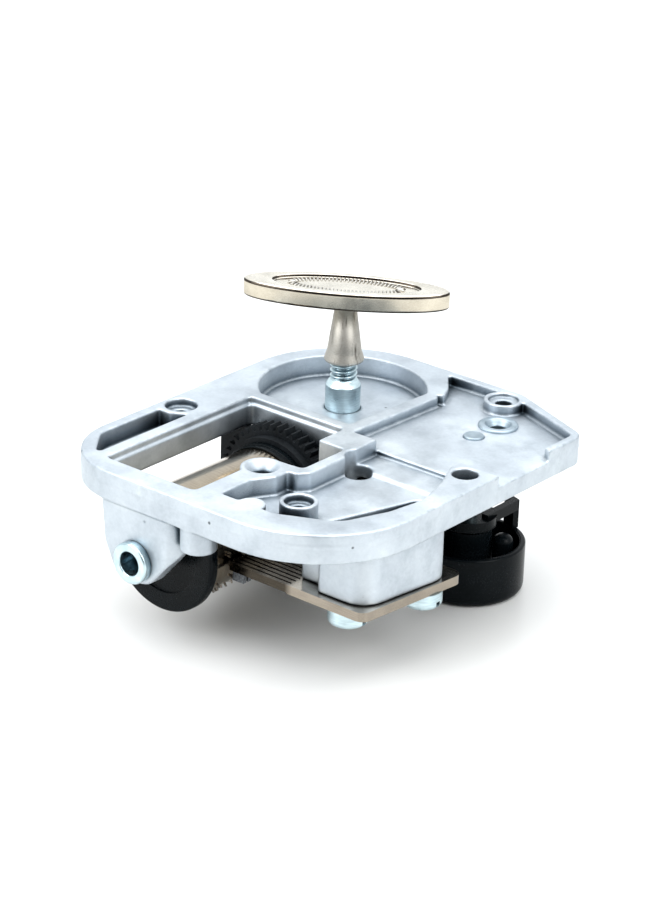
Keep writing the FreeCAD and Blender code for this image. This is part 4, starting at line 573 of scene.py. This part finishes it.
def dieMarks(places, normals, walls):
    s = casting
    rise = np.array([noise.noise(Vector(p) / s["waveLength"]) for p in places], np.float32) * s["waviness"]
    # a faint bead round the outer wall, where the two halves of the die meet
    drop = np.abs(places[:, 2] - s["partingHeight"])
    beside = (drop < 2 * s["partingHalf"]) & (np.abs(normals[:, 2]) < s["partingSlope"])
    for k in np.nonzero(beside)[0]:
        normal = Vector(normals[k])
        start = Vector(places[k]) + normal * s["rayStart"]
        if walls.ray_cast(start, normal, s["rayLength"])[0] is None:
            rise[k] += s["partingProud"] * math.exp(-(drop[k] / s["partingHalf"]) ** 2)
    for place in s["dimples"]:
        away = np.linalg.norm(places - np.array(place, np.float32), axis=1) / s["dimple"][0]
        rise -= s["dimple"][1] * np.clip(1 - away ** 2, 0, 1)
    return rise


def makeCasting():
    mesh, walls = castBlank()
    count = len(mesh.vertices)
    places = np.empty(count * 3, np.float32)
    mesh.vertices.foreach_get("co", places)
    places = places.reshape(-1, 3)
    normals = np.empty(count * 3, np.float32)
    mesh.vertex_normals.foreach_get("vector", normals)
    normals = normals.reshape(-1, 3)
    easeEdges(mesh, places, normals)
    places += normals * dieMarks(places, normals, walls)[:, None]
    places = np.clip(places, np.array(cadLow) / milli, np.array(cadHigh) / milli)
    mesh.vertices.foreach_set("co", (places * milli).astype(np.float32).ravel())
    mesh.shade_smooth()
    return addPiece("casting", mesh, "movement", "frame", "dieCastZinc")


makeCasting()
print("casting")

# Winding arbor: plain collar, bevelled shoulder and a real screw thread for the key.
arbor = {"x": -8.31, "y": 12.5, "foot": 0.3, "pivot": 1.1, "shoulder": 1.05, "core": 2.1, "collarTop": 20.6,
         "threadFoot": 21.3, "thread": 1.62, "threadTop": 25.9, "pitch": 0.66, "depth": 0.34,
         "crest": 0.18, "flank": 0.64, "runIn": 0.5, "runOut": 0.3, "tip": 0.25, "segments": 72,
         "rowsPerTurn": 14, "footRound": 0.2, "shoulderRound": 0.15, "collarRound": 0.12,
         "lead": (0.02, 0.01)}  # the fine step, out and down, where the thread starts


def threadRadius(r, h, angle):
    s = arbor
    if h < s["threadFoot"]:
        return r
    turn = (h - s["threadFoot"]) / s["pitch"] - angle / (2 * math.pi)
    groove = 1 - abs(2 * (turn % 1) - 1)
    fadeIn = (h - s["threadFoot"]) / (s["runIn"] * s["pitch"])
    fadeOut = max(0, (s["threadTop"] - h) / s["runOut"])
    run = min(1, fadeIn, fadeOut)
    return r - s["depth"] * run * min(1, max(0, (groove - s["crest"]) / s["flank"]))


def makeArbor():
    s = arbor
    out, down = s["lead"]
    outline = roundCorners([(0, s["foot"], 0), (s["pivot"], s["foot"], s["footRound"]),
                            (s["pivot"], s["shoulder"], 0), (s["core"], s["shoulder"], s["shoulderRound"]),
                            (s["core"], s["collarTop"], s["collarRound"]),
                            (s["thread"] + out, s["threadFoot"] - down, 0)])
    step = s["pitch"] / s["rowsPerTurn"]
    rows = int((s["threadTop"] - s["threadFoot"]) / step)
    outline += [(s["thread"], s["threadFoot"] + k * step) for k in range(rows + 1)]
    outline += [(s["thread"] - s["tip"], s["threadTop"]), (0, s["threadTop"])]
    mesh = turnedMesh(outline, s["segments"], False, upright(s["x"], s["y"]), threadRadius)
    return addPiece("threaded_arbor", mesh, "winding_key", "winding_arbor", "zincPlateUpright")


makeArbor()

# Key: tapered socket and an oval grip with a sunk, fluted panel.
key = {"x": -8.31, "y": 12.5, "base": 23.65, "top": 31.0, "wide": 2.35, "narrow": 1.2, "band": 0.35,
       "waist": 2.06, "flare": 1.25, "bore": 1.66, "boreTop": 26.1, "stemSegments": 96,
       "half": (12.15, 3.6), "thick": 2.2, "turn": 31.7, "edge": (0.34, 0.42), "edgeSteps": 6, "hold": 0.04,
       "panel": 0.72, "panelDepth": 0.35, "lip": 0.14, "lipSteps": 4, "segments": 192,
       "footRound": 0.2, "bandRound": 0.4, "waistRound": 1.5, "middle": 0.3, "underside": 0.8,
       "fluteMargin": 0.1, "fluteRing": 0.53, "flutes": 62, "flute": (0.6, 0.14, 0.22),
       "fluteFaces": (10, 6), "paces": 2001}


def makeStem():
    s = key
    outline = roundCorners([(s["bore"], s["base"], 0), (s["wide"], s["base"], s["footRound"]),
                            (s["wide"], s["base"] + s["band"], s["bandRound"]),
                            (s["waist"], s["base"] + s["flare"], s["waistRound"]),
                            (s["narrow"], s["top"], 0), (0, s["top"], 0), (0, s["boreTop"], 0),
                            (s["bore"], s["boreTop"], 0)])
    mesh = turnedMesh(outline, s["stemSegments"], True, upright(s["x"], s["y"]))
    return addPiece("key_socket", mesh, "winding_key", "key_stem", "turnedNickelPlate")


def makeGrip():
    # rings are (share of the oval, inset in millimetres, height)
    s = key
    low, high = 0.0, s["thick"]
    (under, over), lip, floor = s["edge"], s["lip"], s["thick"] - s["panelDepth"]
    rings = [(s["middle"], 0, low), (s["underside"], 0, low)]
    hold = s["hold"]  # rings this close to a rounding keep the faces beside it flat
    for k in range(s["edgeSteps"] + 1):
        a = math.pi / 2 * k / s["edgeSteps"]
        rings.append((1, under * (1 - math.sin(a)), low + under * (1 - math.cos(a))))
    rings += [(1, 0, low + under + hold), (1, 0, high - over - hold)]
    for k in range(s["edgeSteps"] + 1):
        a = math.pi / 2 * k / s["edgeSteps"]
        rings.append((1, over * (1 - math.cos(a)), high - over * (1 - math.sin(a))))
    rings.append((1, over + hold, high))
    for k in range(s["lipSteps"] + 1):
        a = math.pi / 2 * k / s["lipSteps"]
        rings.append((s["panel"], -lip * (1 - math.sin(a)), high - lip * (1 - math.cos(a))))
    rings += [(s["panel"], 2 * hold, floor + hold / 2), (s["panel"], 4 * hold, floor)]
    rings += [(s["fluteRing"] + s["fluteMargin"], 0, floor), (s["middle"], 0, floor)]
    mesh = bmesh.new()
    rows = []
    for share, inset, h in rings:
        row = []
        for k in range(s["segments"]):
            a = 2 * math.pi * k / s["segments"]
            across = Vector((s["half"][0] * math.cos(a), s["half"][1] * math.sin(a)))
            outward = Vector((s["half"][1] * math.cos(a), s["half"][0] * math.sin(a))).normalized()
            place = across * share - outward * inset
            row.append(mesh.verts.new((place.x, place.y, h)))
        rows.append(row)
    for row, above in zip(rows, rows[1:]):
        for k in range(s["segments"]):
            n = (k + 1) % s["segments"]
            mesh.faces.new((row[k], row[n], above[n], above[k]))
    mesh.faces.new(list(reversed(rows[0])))
    mesh.faces.new(rows[-1])
    bmesh.ops.recalc_face_normals(mesh, faces=mesh.faces)
    for face in mesh.faces:
        face.smooth = len(face.verts) == 4
    place = upright(s["x"], s["y"], s["top"]) @ Matrix.Rotation(math.radians(s["turn"]), 4, "Z")
    mesh.transform(place @ Matrix.Scale(milli, 4))
    made = bpy.data.meshes.new("grip")
    mesh.to_mesh(made)
    mesh.free()
    return addPiece("key_grip", made, "winding_key", "key_knob", "stampedNickelPlate")


def makeFlutes():
    s = key
    mesh = bmesh.new()
    floor = s["thick"] - s["panelDepth"]
    turns = np.linspace(0, 2 * math.pi, s["paces"])
    steps = np.hypot(s["half"][0] * np.sin(turns), s["half"][1] * np.cos(turns))
    lengths = np.concatenate(([0], np.cumsum(steps[:-1])))
    for k in range(s["flutes"]):
        a = float(np.interp((k + 0.5) / s["flutes"] * lengths[-1], lengths, turns))
        middle = Vector((s["half"][0] * math.cos(a), s["half"][1] * math.sin(a))) * s["fluteRing"]
        outward = Vector((s["half"][1] * math.cos(a), s["half"][0] * math.sin(a))).normalized()
        turn = Matrix.Rotation(math.atan2(outward.y, outward.x), 4, "Z")
        ridge = Matrix.Diagonal((*s["flute"], 1))
        bmesh.ops.create_uvsphere(mesh, u_segments=s["fluteFaces"][0], v_segments=s["fluteFaces"][1],
                                  radius=1,
                                  matrix=Matrix.Translation((middle.x, middle.y, floor)) @ turn @ ridge)
    for face in mesh.faces:
        face.smooth = True
    place = upright(s["x"], s["y"], s["top"]) @ Matrix.Rotation(math.radians(s["turn"]), 4, "Z")
    mesh.transform(place @ Matrix.Scale(milli, 4))
    made = bpy.data.meshes.new("flutes")
    mesh.to_mesh(made)
    mesh.free()
    return addPiece("key_flutes", made, "winding_key", None, "turnedNickelPlate")


makeStem()
makeGrip()
makeFlutes()
print("winding key")

# Cylinder group: rolled eyelet, end cap, brass tube and the gear's stepped sleeve. Each outline holds
# (radius, place along the cylinder, rounding).
drum = {
    "x": -7.45, "z": 10.5, "segments": 128, "eyeletSegments": 96,
    "eyelet": [(1.4, -25.4, 0.2), (2.45, -25.4, 0.3), (2.45, -24.3, 0.1), (1.95, -24.3, 0),
               (1.95, -21.65, 0.1), (1.4, -21.65, 0.1)],
    "cap": [(1.37, -21.4, 0.08), (2.4, -21.4, 0.15), (2.4, -19.75, 0.1), (5.2, -19.75, 0.1),
            (5.2, -20.1, 0.08), (7.5, -20.1, 0.35), (7.5, -18.9, 0.2), (5.98, -18.9, 0), (5.98, -17.3, 0.1),
            (5.08, -17.3, 0.1), (5.08, -18.9, 0), (1.37, -18.9, 0)],
    "tube": [(6.0, -18.9, 0), (6.5, -18.9, 0.05), (6.5, -1.4, 0.05), (6.0, -1.4, 0)],
    "sleeve": [(6.51, -2.75, 0), (6.7, -2.75, 0.06), (6.7, -2.2, 0.05), (6.86, -2.2, 0.05),
               (6.86, -1.41, 0), (6.51, -1.41, 0)],
}


def makeDrumPieces():
    s = drum
    along = lengthwise(s["x"], 0, s["z"])
    meshes = {name: turnedMesh(roundCorners(s[name]), s["segments"], True, along)
              for name in ("cap", "tube", "sleeve")}
    eyelet = turnedMesh(roundCorners(s["eyelet"]), s["eyeletSegments"], True, along)
    addPiece("rolled_eyelet", eyelet, "movement", "front_bushing", "zincPlateLengthwise")
    addPiece("drum_end_cap", meshes["cap"], "cylinder", "end_cap", "mouldedBlackAcetal")
    addPiece("pinned_tube", meshes["tube"], "cylinder", "cylinder", "drawnBrassTube")
    addPiece("gear_sleeve", meshes["sleeve"], "cylinder", None, "mouldedBlackAcetal")


# Pins between those that the frame gives, on the same tracks, so that the tube is as full as a real one.
pins = {"tracks": 18, "firstTrack": -16.187, "pitch": 0.766, "perTrack": 7, "radius": 0.15, "from": 6.3,
        "to": 6.95, "taper": 0.8, "sides": 10, "apart": 9.0, "turns": (50, 295), "seed": 7}


def makePins():
    s = pins
    chance = random.Random(s["seed"])
    mesh = bmesh.new()
    for track in range(s["tracks"]):
        taken = []
        while len(taken) < s["perTrack"]:
            turn = chance.uniform(*s["turns"])
            if all(abs((turn - other + 180) % 360 - 180) > s["apart"] for other in taken):
                taken.append(turn)
        for turn in taken:
            place = (Matrix.Translation((drum["x"], s["firstTrack"] + track * s["pitch"], drum["z"]))
                     @ Matrix.Rotation(math.radians(turn), 4, "Y")
                     @ Matrix.Translation((0, 0, (s["from"] + s["to"]) / 2)))
            bmesh.ops.create_cone(mesh, cap_ends=True, segments=s["sides"], radius1=s["radius"],
                                  radius2=s["radius"] * s["taper"], depth=s["to"] - s["from"], matrix=place)
    mesh.transform(Matrix.Scale(milli, 4))
    made = bpy.data.meshes.new("pins")
    mesh.to_mesh(made)
    mesh.free()
    return addPiece("more_pins", made, "cylinder", None, "groundPinWire")


makeDrumPieces()
makePins()
print("cylinder group")

# Governor: cup with a soft rim, rolled rivet and flush pivot plug. Each outline holds (radius, height,
# rounding).
governor = {
    "x": 10.15, "y": 13.8, "rivetX": 10.45, "rivetY": 18.1, "cupSegments": 128, "rivetSegments": 96,
    "plugSegments": 64,
    "cup": [(0.5, 0, 0), (6.7, 0, 0.9), (6.7, 6.1, 0.28), (5.95, 6.1, 0.2), (5.95, 1.0, 0.5),
            (1.5, 1.0, 0.2), (1.5, 2.0, 0.15), (0.5, 2.0, 0)],
    "rivet": [(1.05, 15.2, 0), (1.9, 15.2, 0.08), (1.9, 18.9, 0), (2.37, 18.9, 0.05), (2.37, 19.12, 0.1),
              (2.15, 19.24, 0.1), (1.6, 19.24, 0.2), (1.05, 18.5, 0.2)],
    "plug": [(0.5, 16.7, 0), (1.2, 16.7, 0.05), (1.2, 19.08, 0.15), (0.3, 19.02, 0), (0, 19.02, 0),
             (0, 17.65, 0), (0.5, 17.65, 0)],
}


def makeGovernorPieces():
    s = governor
    pivot, beside = upright(s["x"], s["y"]), upright(s["rivetX"], s["rivetY"])
    cup = turnedMesh(roundCorners(s["cup"]), s["cupSegments"], True, pivot)
    addPiece("brake_cup", cup, "movement", "governor_cup", "mouldedBlackAcetal")
    rivet = turnedMesh(roundCorners(s["rivet"]), s["rivetSegments"], True, beside)
    addPiece("rolled_rivet", rivet, "movement", "governor_rivet", "tumbledZincPlate")
    plug = turnedMesh(roundCorners(s["plug"]), s["plugSegments"], True, pivot)
    addPiece("pressed_plug", plug, "movement", "pivot_plug", "tumbledZincPlate")


makeGovernorPieces()
print("governor")

# Camera: the photograph's own view, found from the casting's outline.
view = {"place": (196.70, -243.86, 154.51), "aim": (-8.899, 11.170, 12.0), "roll": 1.871,  # roll in degrees
        "focal": 3000, "height": 904,  # both in pixels of the photograph
        "sensor": 36, "clip": (0.01, 10)}


def makeCamera():
    s = view
    lens = bpy.data.cameras.new("camera")
    lens.sensor_width = s["sensor"]
    lens.lens = s["focal"] / s["height"] * lens.sensor_width
    lens.clip_start, lens.clip_end = s["clip"]
    camera = bpy.data.objects.new("camera", lens)
    scene.collection.objects.link(camera)
    turn = (Vector(s["aim"]) - Vector(s["place"])).to_track_quat("-Z", "Y").to_matrix().to_4x4()
    turn = turn @ Matrix.Rotation(math.radians(s["roll"]), 4, "Z")
    camera.matrix_world = Matrix.Translation(Vector(s["place"]) * milli) @ turn
    scene.camera = camera


makeCamera()

# Studio: pale floor, overhead and side soft boxes, and a dim room behind the place of the photograph.
studio = {"floor": "#D6D6D5", "fleck": "#D0D0CE", "fleckSize": 40, "floorRough": 0.32, "floorIor": 1.4,
          "tableReach": 3.0, "tent": 1.35, "light": "#F6FAFD", "roomEdge": (0.7, 0.92), "roomShade": 0.4,
          "aim": (0, 0, 0.012),
          "boxes": {"overhead": ((0.0, -0.02, 0.5), 0.6, 3.0), "leftBox": ((-0.2, -0.42, 0.36), 0.35, 2.0),
                    "rightBox": ((0.5, -0.05, 0.36), 0.35, 1.7)}}  # place, width and power


def makeStudio():
    s = studio
    # satin acrylic sheet, which gives a soft, faint reflection
    material, shader, coords = startMaterial("satinAcrylicSheet", Roughness=s["floorRough"],
                                             IOR=s["floorIor"])
    speck = addNode(material, "TexNoise", {"Scale": grains(s["fleckSize"]), "Detail": 2.0},
                    {"Vector": (coords, "Object")})
    tone = addNode(material, "ValToRGB", {"stops": [(0.3, s["fleck"]), (0.7, s["floor"])]},
                   {"Fac": (speck, "Fac")})
    join(material, shader, Base_Color=(tone, "Color"))
    sheet = bpy.data.meshes.new("table")
    reach = s["tableReach"]
    sheet.from_pydata([(-reach, -reach, 0), (reach, -reach, 0), (reach, reach, 0), (-reach, reach, 0)], [],
                      [(0, 1, 2, 3)])
    sheet.materials.append(material)
    table = bpy.data.objects.new("table", sheet)
    scene.collection.objects.link(table)

    world = bpy.data.worlds.new("tent")
    scene.world = world
    world.use_nodes = True
    world.node_tree.nodes.clear()
    coords = addNode(world, "TexCoord")
    room = (Vector(view["place"]) - Vector(view["aim"])).normalized()
    facing = addNode(world, "VectorMath", {"operation": "DOT_PRODUCT", 1: room}, {0: (coords, "Generated")})
    shade = addNode(world, "MapRange", {"From Min": s["roomEdge"][0], "From Max": s["roomEdge"][1],
                                        "To Min": s["tent"], "To Max": s["roomShade"]},
                    {"Value": (facing, "Value")})
    light = addNode(world, "Background", {"Color": linear(s["light"])}, {"Strength": (shade, 0)})
    addNode(world, "OutputWorld", links={"Surface": (light, "Background")})

    for name, (place, width, power) in s["boxes"].items():
        lamp = bpy.data.lights.new(name, "AREA")
        lamp.shape = "SQUARE"
        lamp.size = width
        lamp.energy = power
        box = bpy.data.objects.new(name, lamp)
        scene.collection.objects.link(box)
        box.location = place
        box.rotation_euler = (Vector(s["aim"]) - Vector(place)).to_track_quat("-Z", "Y").to_euler()


makeStudio()

scene.view_settings.view_transform = "Standard"
print("camera and studio")

bpy.context.view_layer.update()
